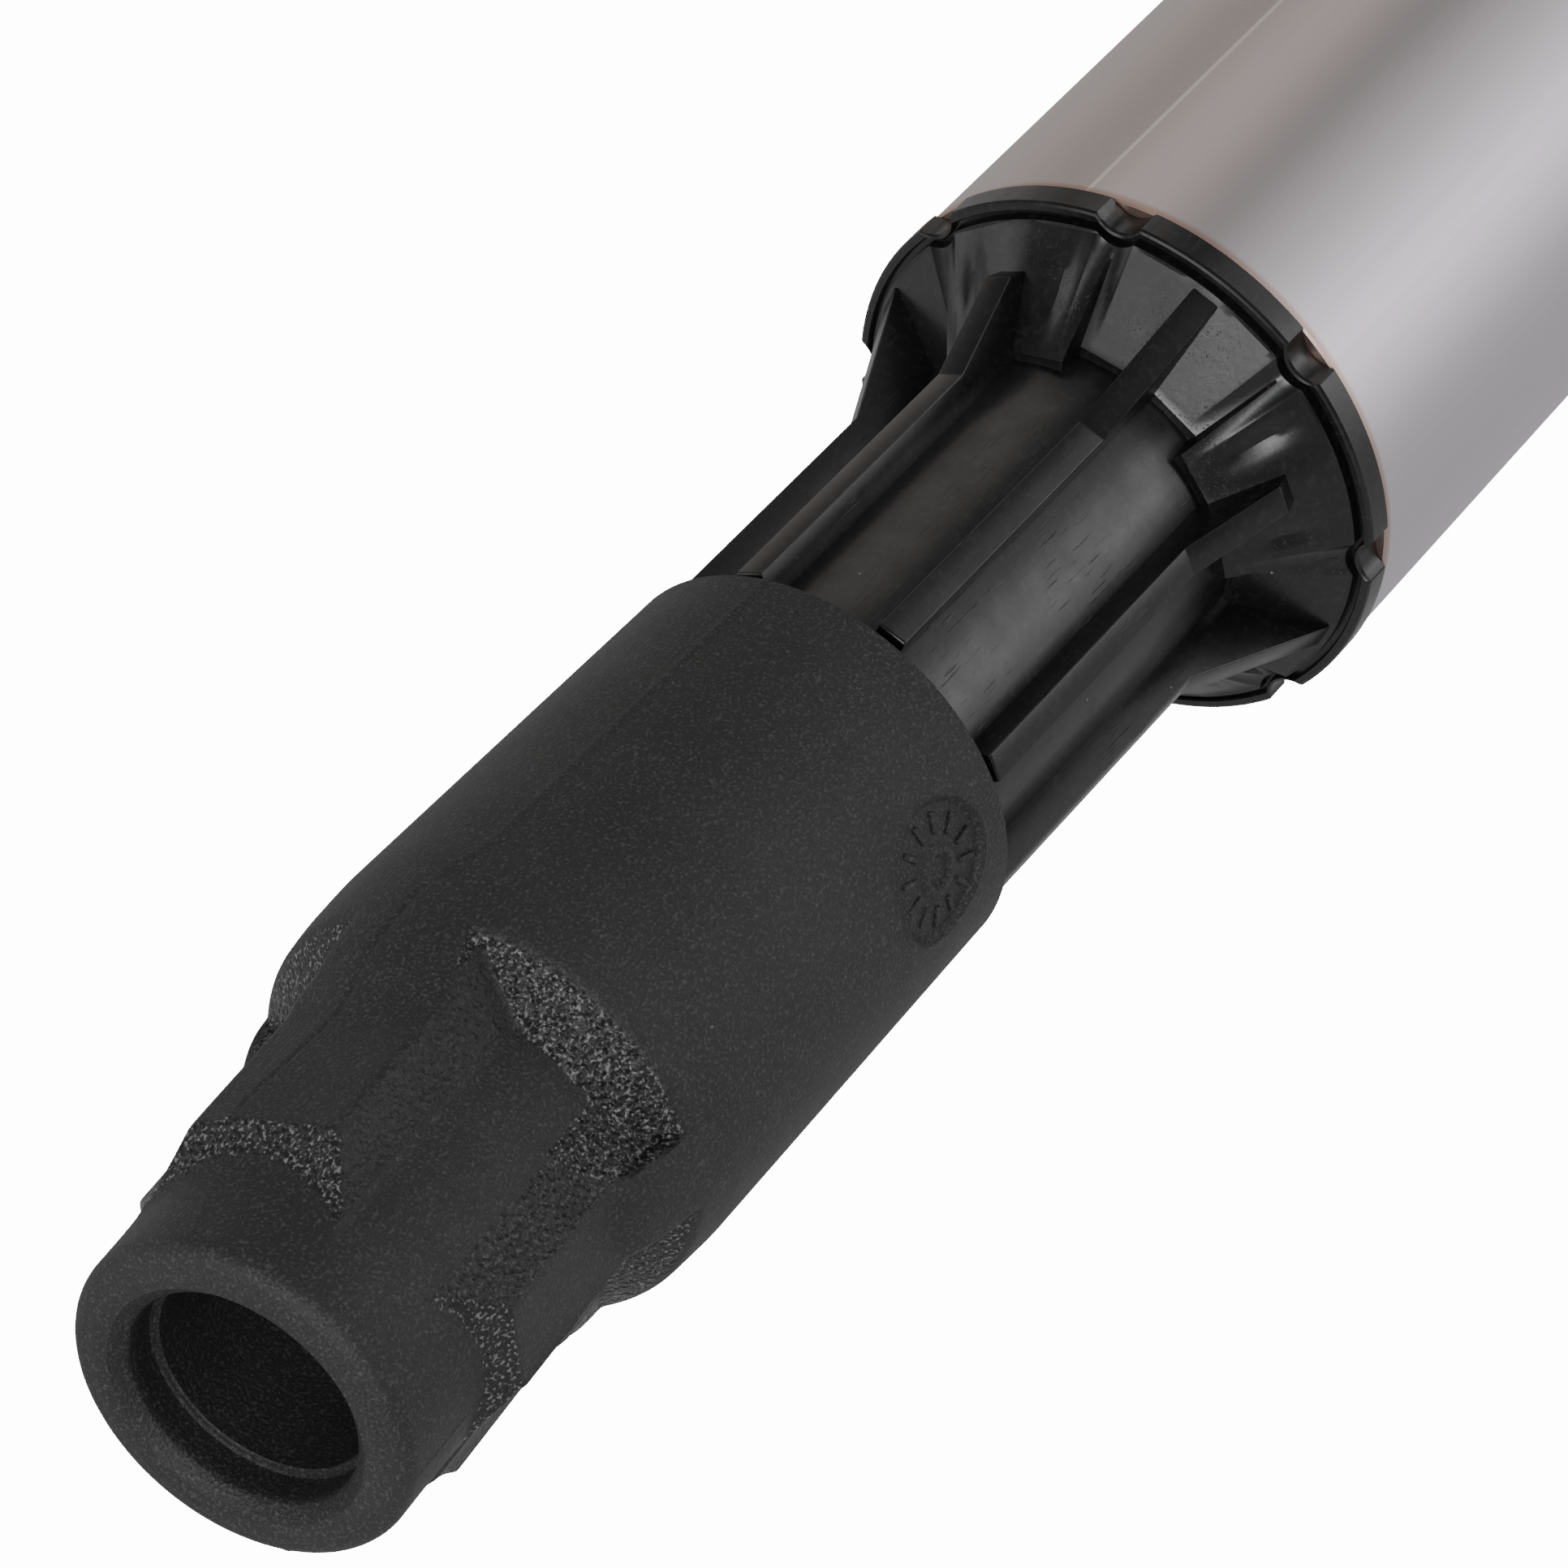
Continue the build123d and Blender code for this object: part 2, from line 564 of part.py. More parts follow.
def end_cap():
    """Plug in the outer tube's rear end, with a flange and a hanging eye."""
    plug_r = outer_bore - FIT
    plug = rod(plug_r, z_tube_rear - END_INSERT, z_tube_rear) - rod(
        plug_r - END_WALL, z_tube_rear - END_INSERT - 1, z_tube_rear)
    plug -= rails(2 * FIT, z_tube_rear - END_INSERT - 1, z_tube_rear)
    for turn in (90, 270):
        plug -= radial_pin(RIVET_R + FIT, turn, z_tube_rear - RIVET_SET_IN, plug_r - 5, plug_r + 1)
    flange = rod(grip_r - 0.5, z_tube_rear, z_tube_rear + END_FLANGE)
    flange = chamfer(flange.edges().filter_by(GeomType.CIRCLE).sort_by(Axis.Z)[-1], 2)
    z_eye = z_tube_rear + END_FLANGE + EYE_REACH
    eye = block(-EYE_HALF_THICK, EYE_HALF_THICK, -EYE_R, EYE_R, z_tube_rear + 1, z_eye)
    eye += Pos(Z=z_eye) * Rot(Y=90) * Cylinder(EYE_R, 2 * EYE_HALF_THICK)
    eye -= Pos(Z=z_eye) * Rot(Y=90) * Cylinder(EYE_HOLE_R, 4 * EYE_HALF_THICK)
    return plug + flange + eye


def end_rivets():
    """Two flush rivets that hold the end cap in the tube."""
    z = z_tube_rear - RIVET_SET_IN
    flush = outer_r - GAP / 2
    return [radial_pin(RIVET_R, turn, z, outer_bore - FIT - END_WALL, flush) for turn in (90, 270)]


# ---- write every piece, laid down on the floor ----
pieces = {
    "pole_cone": pole_cone(),
    "cone_screw": cone_screw(),
    "cone_washer": cone_washer(),
    "tip_plug": tip_plug(),
    "inner_tube": inner_tube(),
    "stop_ring": guide_ring(z_stop_ring),
    "rear_guide_ring": guide_ring(z_stop_ring + GUIDE_SPREAD),
    "guide_ring_pins": guide_pins(),
    "rear_plug": rear_plug(),
    "outer_tube": outer_tube(),
    "guide_bush": guide_bush(),
    "wiper_ring": wiper_ring(),
    "collar_cap": collar_cap(),
    "clamp_collar": clamp_collar(),
    "collar_screws": collar_screws(),
    "lever_pin": lever_pin(),
    "pin_clips": pin_clips(),
    "clamp_lever": clamp_lever(),
    "lever_pad": lever_pad(),
    "brake_shoe": brake_shoe(),
    "brake_pad": brake_pad(),
    "wear_plate": wear_plate(),
    "shoe_springs": shoe_springs(),
    "hand_grip": hand_grip(),
    "grip_trim": grip_trim(),
    "end_cap": end_cap(),
    "end_rivets": end_rivets(),
}

front = pieces["pole_cone"].bounding_box().min.Z
rear = pieces["end_cap"].bounding_box().max.Z
middle = (front + rear) / 2
lay_down = Plane(origin=(-middle, 0, axis_height), x_dir=(0, 0, 1), z_dir=(1, 0, 0)).location

os.makedirs("parts", exist_ok=True)
for name, shape in pieces.items():
    solids = shape if isinstance(shape, list) else [shape]
    laid = [lay_down * solid for solid in solids]
    export_step(Compound(laid) if len(laid) > 1 else laid[0], f"parts/{name}.step")


def told(name, x, up=0.0):
    """Prints a place on the laid pole."""
    print(f"{name}: x {x - middle:.3f}, z {axis_height + up:.3f}")


told("nose axis crosses", z_nose)
told("cone web", z_web)
told("tube mouth", 0)
told("shoe and lever pin", z_shoe, pin_x)
told("collar rear", z_collar_rear)
told("eye", z_tube_rear + END_FLANGE + EYE_REACH)
told("spring foot", z_shoe, outer_r)
print(f"overall {rear - front:.2f}")
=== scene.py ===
import logging
import math
from dataclasses import dataclass, field
from enum import Enum

import bmesh
import bpy
import numpy as np
from mathutils import Matrix, Vector


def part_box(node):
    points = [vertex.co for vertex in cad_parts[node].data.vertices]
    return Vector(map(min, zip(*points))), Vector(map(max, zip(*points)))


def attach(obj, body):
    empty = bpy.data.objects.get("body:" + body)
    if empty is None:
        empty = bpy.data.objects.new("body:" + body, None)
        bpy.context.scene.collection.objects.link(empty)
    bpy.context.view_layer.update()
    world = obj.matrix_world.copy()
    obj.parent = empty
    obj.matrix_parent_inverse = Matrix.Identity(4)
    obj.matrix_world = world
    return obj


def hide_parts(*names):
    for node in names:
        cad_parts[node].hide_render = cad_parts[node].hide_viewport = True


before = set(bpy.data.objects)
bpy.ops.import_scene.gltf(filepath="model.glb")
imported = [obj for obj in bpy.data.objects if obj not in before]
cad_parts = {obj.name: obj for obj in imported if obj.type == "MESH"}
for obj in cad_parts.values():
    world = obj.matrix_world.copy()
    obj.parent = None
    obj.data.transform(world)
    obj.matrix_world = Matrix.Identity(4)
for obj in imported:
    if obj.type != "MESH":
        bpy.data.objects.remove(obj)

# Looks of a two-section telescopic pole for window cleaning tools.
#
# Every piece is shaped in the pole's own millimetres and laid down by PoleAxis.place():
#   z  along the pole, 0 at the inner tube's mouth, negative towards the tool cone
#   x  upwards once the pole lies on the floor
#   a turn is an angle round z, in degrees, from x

log = logging.getLogger("pole")
MM = 0.001


# ---------------------------------------------------------------- the pole's own frame
@dataclass(frozen=True)
class PoleAxis:
    """Where the pole lies, in metres.

    Args:
        mouth: world X of the inner tube's mouth.
        height: world Z of the pole's axis.
    """

    mouth: float
    height: float

    @classmethod
    def from_frame(cls) -> "PoleAxis":
        """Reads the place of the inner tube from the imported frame."""
        low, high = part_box("inner_tube")
        return cls(mouth=low.x, height=(low.z + high.z) / 2)

    def place(self, points: np.ndarray) -> np.ndarray:
        """Lays points down on the floor.

        Args:
            points: array of (x, y, z) in the pole's millimetres.

        Returns:
            The same points in metres in the frame of the CAD.
        """
        p = np.asarray(points, float) * MM
        return np.stack([p[..., 2] + self.mouth, -p[..., 1], p[..., 0] + self.height], axis=-1)

    def local_z(self, node: str) -> tuple[float, float]:
        """First and last z of a CAD node along the pole, in millimetres."""
        low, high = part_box(node)
        return (low.x - self.mouth) / MM, (high.x - self.mouth) / MM


AXIS = PoleAxis.from_frame()


class Body(Enum):
    """CAD bodies that new pieces ride on."""

    HANDLE = "handle"
    SLIDER = "slider"


# ---------------------------------------------------------------- node wiring
class Wires:
    """Short ways to add nodes to a shader or geometry tree and join them."""

    def __init__(self, tree: bpy.types.NodeTree) -> None:
        """Keeps the tree that nodes go into."""
        self.tree = tree

    def add(self, kind: str, **settings: object) -> bpy.types.Node:
        """Adds a node and sets its properties.

        Args:
            kind: the node's type name.
            settings: properties of the node itself.

        Returns:
            The new node.
        """
        node = self.tree.nodes.new(kind)
        for key, value in settings.items():
            setattr(node, key, value)
        return node

    def feed(self, socket: bpy.types.NodeSocket, value: object) -> None:
        """Links a socket to another, or sets its value when given a plain one."""
        if isinstance(value, bpy.types.NodeSocket):
            self.tree.links.new(value, socket)
        elif value is not None:
            socket.default_value = value

    def join(self, kind: str, inputs: dict[str | int, object], out: str | int = 0,
             **settings: object) -> bpy.types.NodeSocket:
        """Adds a node, feeds its inputs and gives one of its outputs.

        Args:
            kind: the node's type name.
            inputs: value or socket of each input, by its name or number.
            out: name or number of the output to give.
            settings: properties of the node itself.

        Returns:
            That output.
        """
        node = self.add(kind, **settings)
        for key, value in inputs.items():
            self.feed(node.inputs[key], value)
        return node.outputs[out]

    def math(self, step: str, a: object, b: object = None, c: object = None,
             clamp: bool = False) -> bpy.types.NodeSocket:
        """Adds a Math node on up to three numbers or sockets."""
        return self.join("ShaderNodeMath", {0: a, 1: b, 2: c}, operation=step, use_clamp=clamp)

    def ramp(self, value: object, low: float, high: float, out_low: float = 0.0,
             out_high: float = 1.0) -> bpy.types.NodeSocket:
        """Maps a value's range low..high to out_low..out_high with soft ends."""
        numbers = dict(enumerate((value, low, high, out_low, out_high)))
        return self.join("ShaderNodeMapRange", numbers, interpolation_type="SMOOTHSTEP")

    def noise(self, where: object, size: float, detail: float = 2.0,
              roughness: float = 0.5) -> bpy.types.NodeSocket:
        """Adds noise whose spots are about size millimetres wide."""
        return self.join("ShaderNodeTexNoise", {
            "Vector": where, "Scale": 1.0 / (size * MM), "Detail": detail,
            "Roughness": roughness}, "Fac")

    def cells(self, where: object, size: float, feature: str = "F1") -> bpy.types.NodeSocket:
        """Adds Voronoi cells about size millimetres wide and gives their distance."""
        return self.join("ShaderNodeTexVoronoi", {"Vector": where, "Scale": 1.0 / (size * MM)},
                         "Distance", feature=feature)

    def stretched(self, where: object, scale: tuple[float, float, float]) -> bpy.types.NodeSocket:
        """Scales coordinates unevenly, to draw a pattern out along one axis."""
        return self.join("ShaderNodeVectorMath", {0: where, 1: scale}, operation="MULTIPLY")

    def blend(self, amount: object, a: object, b: object) -> bpy.types.NodeSocket:
        """Mixes two colours, each a socket or four numbers: 0 gives a and 1 gives b."""
        return self.join("ShaderNodeMix", {"Factor": amount, 6: a, 7: b}, 2, data_type="RGBA")


def tinted(colour: tuple[float, float, float], scale: float = 1.0,
           lift: float = 0.0) -> tuple[float, ...]:
    """Scales a colour, lifts each channel and adds a full alpha."""
    return (*(c * scale + lift for c in colour), 1.0)


# ---------------------------------------------------------------- finishes
@dataclass(frozen=True)
class Finish:
    """A material of one kind, made once and shared by its pieces.

    Args:
        name: the material's name, without its ending.
        slot: name of a material slot; not used.
    """

    name: str
    slot: str

    def material(self) -> bpy.types.Material:
        """Gives the material, and makes it the first time."""
        title = self.name + "_finish"
        made = bpy.data.materials.get(title)
        if made is None:
            made = bpy.data.materials.new(title)
            made.use_nodes = True
            made.node_tree.nodes.clear()
            wires = Wires(made.node_tree)
            shader = wires.add("ShaderNodeBsdfPrincipled")
            out = wires.add("ShaderNodeOutputMaterial")
            made.node_tree.links.new(shader.outputs[0], out.inputs[0])
            where = wires.add("ShaderNodeTexCoord").outputs["Object"]
            self.paint(wires, shader, where)
        return made

    def paint(self, wires: Wires, shader: bpy.types.Node, where: bpy.types.NodeSocket) -> None:
        """Wires the look into the shader; each kind of finish has its own."""
        raise NotImplementedError

    @staticmethod
    def bump(wires: Wires, shader: bpy.types.Node,
             layers: list[tuple[object, float, object]]) -> None:
        """Stacks bump layers on the shader's normal.

        Args:
            wires: the material's wiring.
            shader: the shader that takes the normal.
            layers: (height socket, depth in millimetres, strength) of each layer.
        """
        normal = None
        for height, depth, strength in layers:
            normal = wires.join("ShaderNodeBump", {
                "Distance": depth * MM, "Strength": strength, "Height": height, "Normal": normal})
        wires.feed(shader.inputs["Normal"], normal)


@dataclass(frozen=True)
class MouldedPlastic(Finish):
    """Moulded plastic with an eroded grain, specks of dust, fine scratches, painted glints on the
    grain and coarse areas, and painted shade on coarse areas.

    Args:
        colour: base colour.
        roughness: middle of the roughness range.
        specular: strength of the reflection.
        grain: size of the grain in millimetres.
        grain_depth: depth of the grain in millimetres.
        coarse_grain: size of the grain where the piece's "coarse" attribute is 1.
        coarse_depth: depth of that grain.
        scratches: 0 for none, 1 for many.
        dust: share of pale specks.
        mottle: how much the roughness wanders.
        painted_sparkle: how pale the grain's peaks are painted, a painted glint.
    """

    colour: tuple[float, float, float]
    roughness: float
    specular: float = 0.5
    grain: float = 0.2
    grain_depth: float = 0.02
    coarse_grain: float = 0.0
    coarse_depth: float = 0.0
    scratches: float = 0.0
    dust: float = 0.3
    mottle: float = 0.06
    painted_sparkle: float = 0.3

    def paint(self, wires: Wires, shader: bpy.types.Node, where: bpy.types.NodeSocket) -> None:
        """Wires colour, roughness and grain, with painted glints and painted shade in the colour."""
        fine = wires.noise(where, self.grain, 3.0, 0.6)
        wide = wires.noise(where, 9.0, 2.0)
        patch = wires.noise(where, 2.2, 3.0, 0.6)
        cloud = wires.ramp(wide, 0.35, 0.7)
        colour = wires.blend(wires.math("MULTIPLY", cloud, 0.35), tinted(self.colour),
                             tinted(self.colour, 1.7, 0.004))
        # Painted glints: the grain's peaks are painted paler, standing in for light caught by the
        # grain.
        painted_tip_glints = wires.ramp(fine, 0.50, 0.70, 0.0, self.painted_sparkle)
        colour = wires.blend(painted_tip_glints, colour, tinted(self.colour, 4.0, 0.012))
        spot = wires.cells(where, 1.5)
        rare = wires.ramp(wires.noise(where, 3.1, 1.0), 0.60, 0.66)
        speck = wires.math("MULTIPLY", wires.ramp(spot, 0.075, 0.03), rare)
        speck = wires.math("MULTIPLY", speck, self.dust)
        colour = wires.blend(speck, colour, (0.42, 0.41, 0.40, 1.0))
        rough = wires.math("MULTIPLY_ADD", patch, 2 * self.mottle, self.roughness - self.mottle)
        layers: list[tuple[object, float, object]] = [(fine, self.grain_depth, 1.0)]
        if self.coarse_depth:
            mark = wires.add("ShaderNodeAttribute", attribute_name="coarse").outputs["Fac"]
            lumps = wires.cells(where, self.coarse_grain, "SMOOTH_F1")
            # Painted shade: coarse areas (spline side walls, front ramps, bay cuts) are painted
            # darker, mostly standing in for the shade on those walls, partly the darker tone of the
            # eroded texture.
            colour = wires.blend(wires.math("MULTIPLY", mark, 0.75), colour,
                                 tinted(self.colour, 0.45))
            layers.append((lumps, self.coarse_depth, mark))
            # Painted glints: pale flecks painted into the coarse areas, strongest where the coarse
            # value nears 1, on the front ramps.
            glint = wires.ramp(wires.noise(where, self.coarse_grain * 0.6, 2.0), 0.54, 0.66)
            shine = wires.math("MULTIPLY", glint, mark)
            rough = wires.math("SUBTRACT", rough, wires.math("MULTIPLY", mark, 0.2))
            lit = wires.math("MULTIPLY", shine, wires.ramp(mark, 0.6, 1.0, 0.10, 0.9))
            colour = wires.blend(lit, colour, tinted(self.colour, 8.0, 0.08))
        if self.scratches:
            drawn = wires.stretched(where, (0.05, 1.0, 1.0))
            lines = wires.noise(drawn, 0.16, 2.0, 0.7)
            worn = wires.ramp(wires.noise(where, 6.0, 2.0), 0.48, 0.68)
            cut = wires.math("MULTIPLY", wires.ramp(lines, 0.60, 0.72), worn)
            cut = wires.math("MULTIPLY", cut, self.scratches)
            rough = wires.math("ADD", rough, wires.math("MULTIPLY", cut, 0.16))
            layers.append((cut, 0.02, 0.6))
        wires.feed(shader.inputs["Base Color"], colour)
        wires.feed(shader.inputs["Roughness"], rough)
        shader.inputs["Specular IOR Level"].default_value = self.specular
        self.bump(wires, shader, layers)


@dataclass(frozen=True)
class AnodisedTube(Finish):
    """Drawn and anodised aluminium: die lines along the tube, a seam line, a warm cut end, and a
    painted reflection that turns from a warm tint to a cool one round the tube.

    Args:
        warm: the tube's colour with a painted warm reflection, up to a turn of about -20 degrees.
        cool: the tube's colour with a painted cool reflection, from a turn of about 54 degrees.
        roughness: middle of the roughness range.
        seam_turn: turn of the pale line along the tube, or None.
        cut_end: world X of the bare cut end.
    """

    warm: tuple[float, float, float]
    cool: tuple[float, float, float]
    roughness: float
    seam_turn: float | None
    cut_end: float

    def paint(self, wires: Wires, shader: bpy.types.Node, where: bpy.types.NodeSocket) -> None:
        """Wires the painted reflection, the die lines, the seam and the cut end."""
        split = wires.add("ShaderNodeSeparateXYZ")
        wires.feed(split.inputs[0], where)
        x, y, z = split.outputs
        up = wires.math("SUBTRACT", z, AXIS.height)
        side = wires.math("MULTIPLY", y, -1.0)
        turn = wires.math("ARCTAN2", side, up)
        # Painted reflection: the colour turns from the warm to the cool tint round the tube, standing
        # in for the surroundings that the metal reflects.
        painted_reflection_turn = wires.ramp(turn, -0.35, 0.95)
        wander = wires.noise(where, 60.0, 1.0)
        colour = wires.blend(painted_reflection_turn, tinted(self.warm), tinted(self.cool))
        drawn = wires.stretched(where, (0.004, 1.0, 1.0))
        lines = wires.noise(drawn, 0.35, 4.0, 0.7)
        shade = wires.math("MULTIPLY", wires.ramp(lines, 0.3, 0.7), 0.10)
        colour = wires.blend(shade, colour, tinted(self.cool, 0.72))
        flecks = wires.ramp(wires.noise(where, 0.25, 2.0, 0.6), 0.55, 0.8, 0.0, 0.10)
        colour = wires.blend(flecks, colour, (0.9, 0.88, 0.87, 1.0))
        if self.seam_turn is not None:
            off = wires.math("SUBTRACT", turn, math.radians(self.seam_turn))
            far = wires.math("ABSOLUTE", off)
            waver = wires.math("MULTIPLY", wires.noise(drawn, 4.0, 2.0), 1.7, clamp=True)
            seam = wires.math("MULTIPLY", wires.ramp(far, 0.013, 0.004), waver)
            colour = wires.blend(seam, colour, (1.0, 0.93, 0.90, 1.0))
            step = wires.ramp(off, 0.006, 0.012, 0.0, 0.10)
            trail = wires.math("MULTIPLY", step, wires.ramp(off, 0.30, 0.05))
            colour = wires.blend(trail, colour, (1.0, 0.97, 0.96, 1.0))
        edge = wires.ramp(wires.math("ABSOLUTE", wires.math("SUBTRACT", x, self.cut_end)),
                          0.00075, 0.00025)
        edge = wires.math("MULTIPLY", edge, 0.65)
        colour = wires.blend(edge, colour, (0.46, 0.27, 0.19, 1.0))
        wires.feed(shader.inputs["Base Color"], colour)
        shader.inputs["Metallic"].default_value = 1.0
        cloud = wires.math("MULTIPLY_ADD", wander, 0.06, self.roughness - 0.03)
        rough = wires.math("MULTIPLY_ADD", lines, 0.08, wires.math("SUBTRACT", cloud, 0.04))
        wires.feed(shader.inputs["Roughness"], rough)
        pits = wires.noise(where, 0.12, 2.0)
        self.bump(wires, shader, [(lines, 0.004, 0.5), (pits, 0.003, 0.4)])


@dataclass(frozen=True)
class Steel(Finish):
    """Turned or pressed steel with fine tool marks.

    Args:
        colour: base colour.
        roughness: middle of the roughness range.
    """

    colour: tuple[float, float, float]
    roughness: float

    def paint(self, wires: Wires, shader: bpy.types.Node, where: bpy.types.NodeSocket) -> None:
        """Wires the tool marks."""
        marks = wires.noise(wires.stretched(where, (1.0, 0.08, 1.0)), 0.15, 3.0, 0.6)
        dull = wires.ramp(wires.noise(where, 1.5, 3.0), 0.4, 0.7)
        colour = wires.blend(dull, tinted(self.colour), tinted(self.colour, 0.6))
        wires.feed(shader.inputs["Base Color"], colour)
        shader.inputs["Metallic"].default_value = 1.0
        rough = wires.math("MULTIPLY_ADD", marks, 0.2, self.roughness - 0.1)
        wires.feed(shader.inputs["Roughness"], rough)
        self.bump(wires, shader, [(marks, 0.01, 0.5)])


@dataclass(frozen=True)
class SoftRubber(Finish):
    """Matt rubber with a skin of fine pores and pale rubbed patches.

    Args:
        colour: base colour.
        worn: colour of the rubbed patches.
        roughness: middle of the roughness range.
    """

    colour: tuple[float, float, float]
    worn: tuple[float, float, float]
    roughness: float = 0.72

    def paint(self, wires: Wires, shader: bpy.types.Node, where: bpy.types.NodeSocket) -> None:
        """Wires the pores and the rubbed patches."""
        pores = wires.cells(where, 0.45, "SMOOTH_F1")
        fine = wires.noise(where, 0.12, 3.0, 0.6)
        rubbed = wires.ramp(wires.noise(where, 7.0, 4.0, 0.6), 0.48, 0.75, 0.0, 0.6)
        colour = wires.blend(rubbed, tinted(self.colour), tinted(self.worn))
        wires.feed(shader.inputs["Base Color"], colour)
        rough = wires.math("MULTIPLY_ADD", rubbed, -0.12, self.roughness)
        wires.feed(shader.inputs["Roughness"], rough)
        shader.inputs["Specular IOR Level"].default_value = 0.35
        self.bump(wires, shader, [(pores, 0.03, 0.5), (fine, 0.015, 0.6)])


# The cone's finish paints strong glints on its grain and its coarse areas, and paints shade on its
# coarse areas.
CONE_PLASTIC = MouldedPlastic(
    "cone_plastic", "cone_plastic", (0.0165, 0.0165, 0.0165), 0.54, specular=0.5, grain=0.20,
    grain_depth=0.10, coarse_grain=0.36, coarse_depth=0.26, dust=0.3, painted_sparkle=0.75)
PLUG_PLASTIC = MouldedPlastic(
    "plug_plastic", "plug_plastic", (0.0065, 0.0065, 0.0068), 0.30, specular=0.55, grain=0.5,
    grain_depth=0.006, scratches=0.9, dust=0.5, mottle=0.10)
CLAMP_PLASTIC = MouldedPlastic(
    "clamp_plastic", "clamp_plastic", (0.016, 0.016, 0.017), 0.48, grain=0.22,
    grain_depth=0.022, dust=0.2)
LEVER_PLASTIC = MouldedPlastic(
    "lever_plastic", "lever_plastic", (0.022, 0.023, 0.025), 0.42, grain=0.3,
    grain_depth=0.014, scratches=0.4, dust=0.2)
NYLON = MouldedPlastic(
    "bush_nylon", "bush_nylon", (0.045, 0.046, 0.048), 0.45, grain=0.3, grain_depth=0.01, dust=0.1)
# Both aluminium finishes carry a painted reflection: warm on one side of the tube, cool on the other.
INNER_ALUMINIUM = AnodisedTube(
    "inner_aluminium", "inner_aluminium", (0.64, 0.565, 0.545), (0.69, 0.655, 0.69), 0.42,
    -11.0, AXIS.mouth)
OUTER_ALUMINIUM = AnodisedTube(
    "outer_aluminium", "outer_aluminium", (0.64, 0.59, 0.565), (0.69, 0.665, 0.69), 0.42,
    None, AXIS.mouth + 0.706)
STEEL = Steel("steel", "steel", (0.55, 0.55, 0.56), 0.34)
BLACK_STEEL = Steel("black_steel", "steel", (0.035, 0.035, 0.037), 0.5)
RUBBER = SoftRubber("rubber", "rubber", (0.014, 0.014, 0.014), (0.03, 0.03, 0.03))
GRIP_RUBBER = SoftRubber("grip_rubber", "grip_rubber", (0.018, 0.018, 0.019), (0.036, 0.036, 0.036))
PAD_RUBBER = SoftRubber("pad_rubber", "pad_rubber", (0.030, 0.031, 0.034), (0.055, 0.055, 0.058))


# ---------------------------------------------------------------- meshes
def make_object(name: str, verts: np.ndarray, faces: list[tuple[int, ...]], finish: Finish,
                sharp: float = 38.0) -> bpy.types.Object:
    """Makes an object at the origin from vertices in metres.

    Args:
        name: the piece's name.
        verts: vertex places in metres.
        faces: vertex numbers of each face.
        finish: the piece's finish.
        sharp: edges that turn by more than this many degrees stay sharp.

    Returns:
        The new object, with faces that look outwards.
    """
    mesh = bpy.data.meshes.new(name)
    mesh.from_pydata(np.asarray(verts).tolist(), [], faces)
    mesh.validate()
    made = bmesh.new()
    made.from_mesh(mesh)
    bmesh.ops.remove_doubles(made, verts=made.verts, dist=1e-7)
    if made.calc_volume(signed=True) < 0:
        bmesh.ops.reverse_faces(made, faces=made.faces)
    made.to_mesh(mesh)
    made.free()
    mesh.shade_smooth()
    mesh.set_sharp_from_angle(angle=math.radians(sharp))
    mesh.materials.append(finish.material())
    item = bpy.data.objects.new(name, mesh)
    bpy.context.scene.collection.objects.link(item)
    return item


def skin(rows: np.ndarray, first_tip: np.ndarray, last_tip: np.ndarray) -> tuple[
        np.ndarray, list[tuple[int, ...]]]:
    """Joins rings of points into a closed skin with a tip at each end.

    Args:
        rows: array (rings, points, 3).
        first_tip: point that closes the first ring.
        last_tip: point that closes the last ring.

    Returns:
        Vertices and faces.
    """
    count, around, _ = rows.shape
    verts = np.concatenate([rows.reshape(-1, 3), [first_tip], [last_tip]])
    i = np.arange(count - 1)[:, None] * around
    j = np.arange(around)[None, :]
    k = (j + 1) % around
    quads = np.stack([i + j, i + k, i + around + k, i + around + j], axis=-1).reshape(-1, 4)
    faces: list[tuple[int, ...]] = [tuple(q) for q in quads.tolist()]
    first, last, base = count * around, count * around + 1, (count - 1) * around
    for a in range(around):
        b = (a + 1) % around
        faces.append((first, b, a))
        faces.append((last, base + a, base + b))
    return verts, faces


def soft_min(a: np.ndarray, b: np.ndarray, blend: float) -> np.ndarray:
    """Smaller of two distances, rounded over blend millimetres where they meet."""
    h = np.clip(0.5 + 0.5 * (b - a) / blend, 0.0, 1.0)
    return b * (1 - h) + a * h - blend * h * (1 - h)


def soft_max(a: np.ndarray, b: np.ndarray, blend: float) -> np.ndarray:
    """Larger of two distances, rounded over blend millimetres where they meet."""
    return -soft_min(-a, -b, blend)


def turn_gap(turn: np.ndarray, centre: float) -> np.ndarray:
    """Angle from centre to turn, in degrees from -180 to 180."""
    return (turn - centre + 180.0) % 360.0 - 180.0


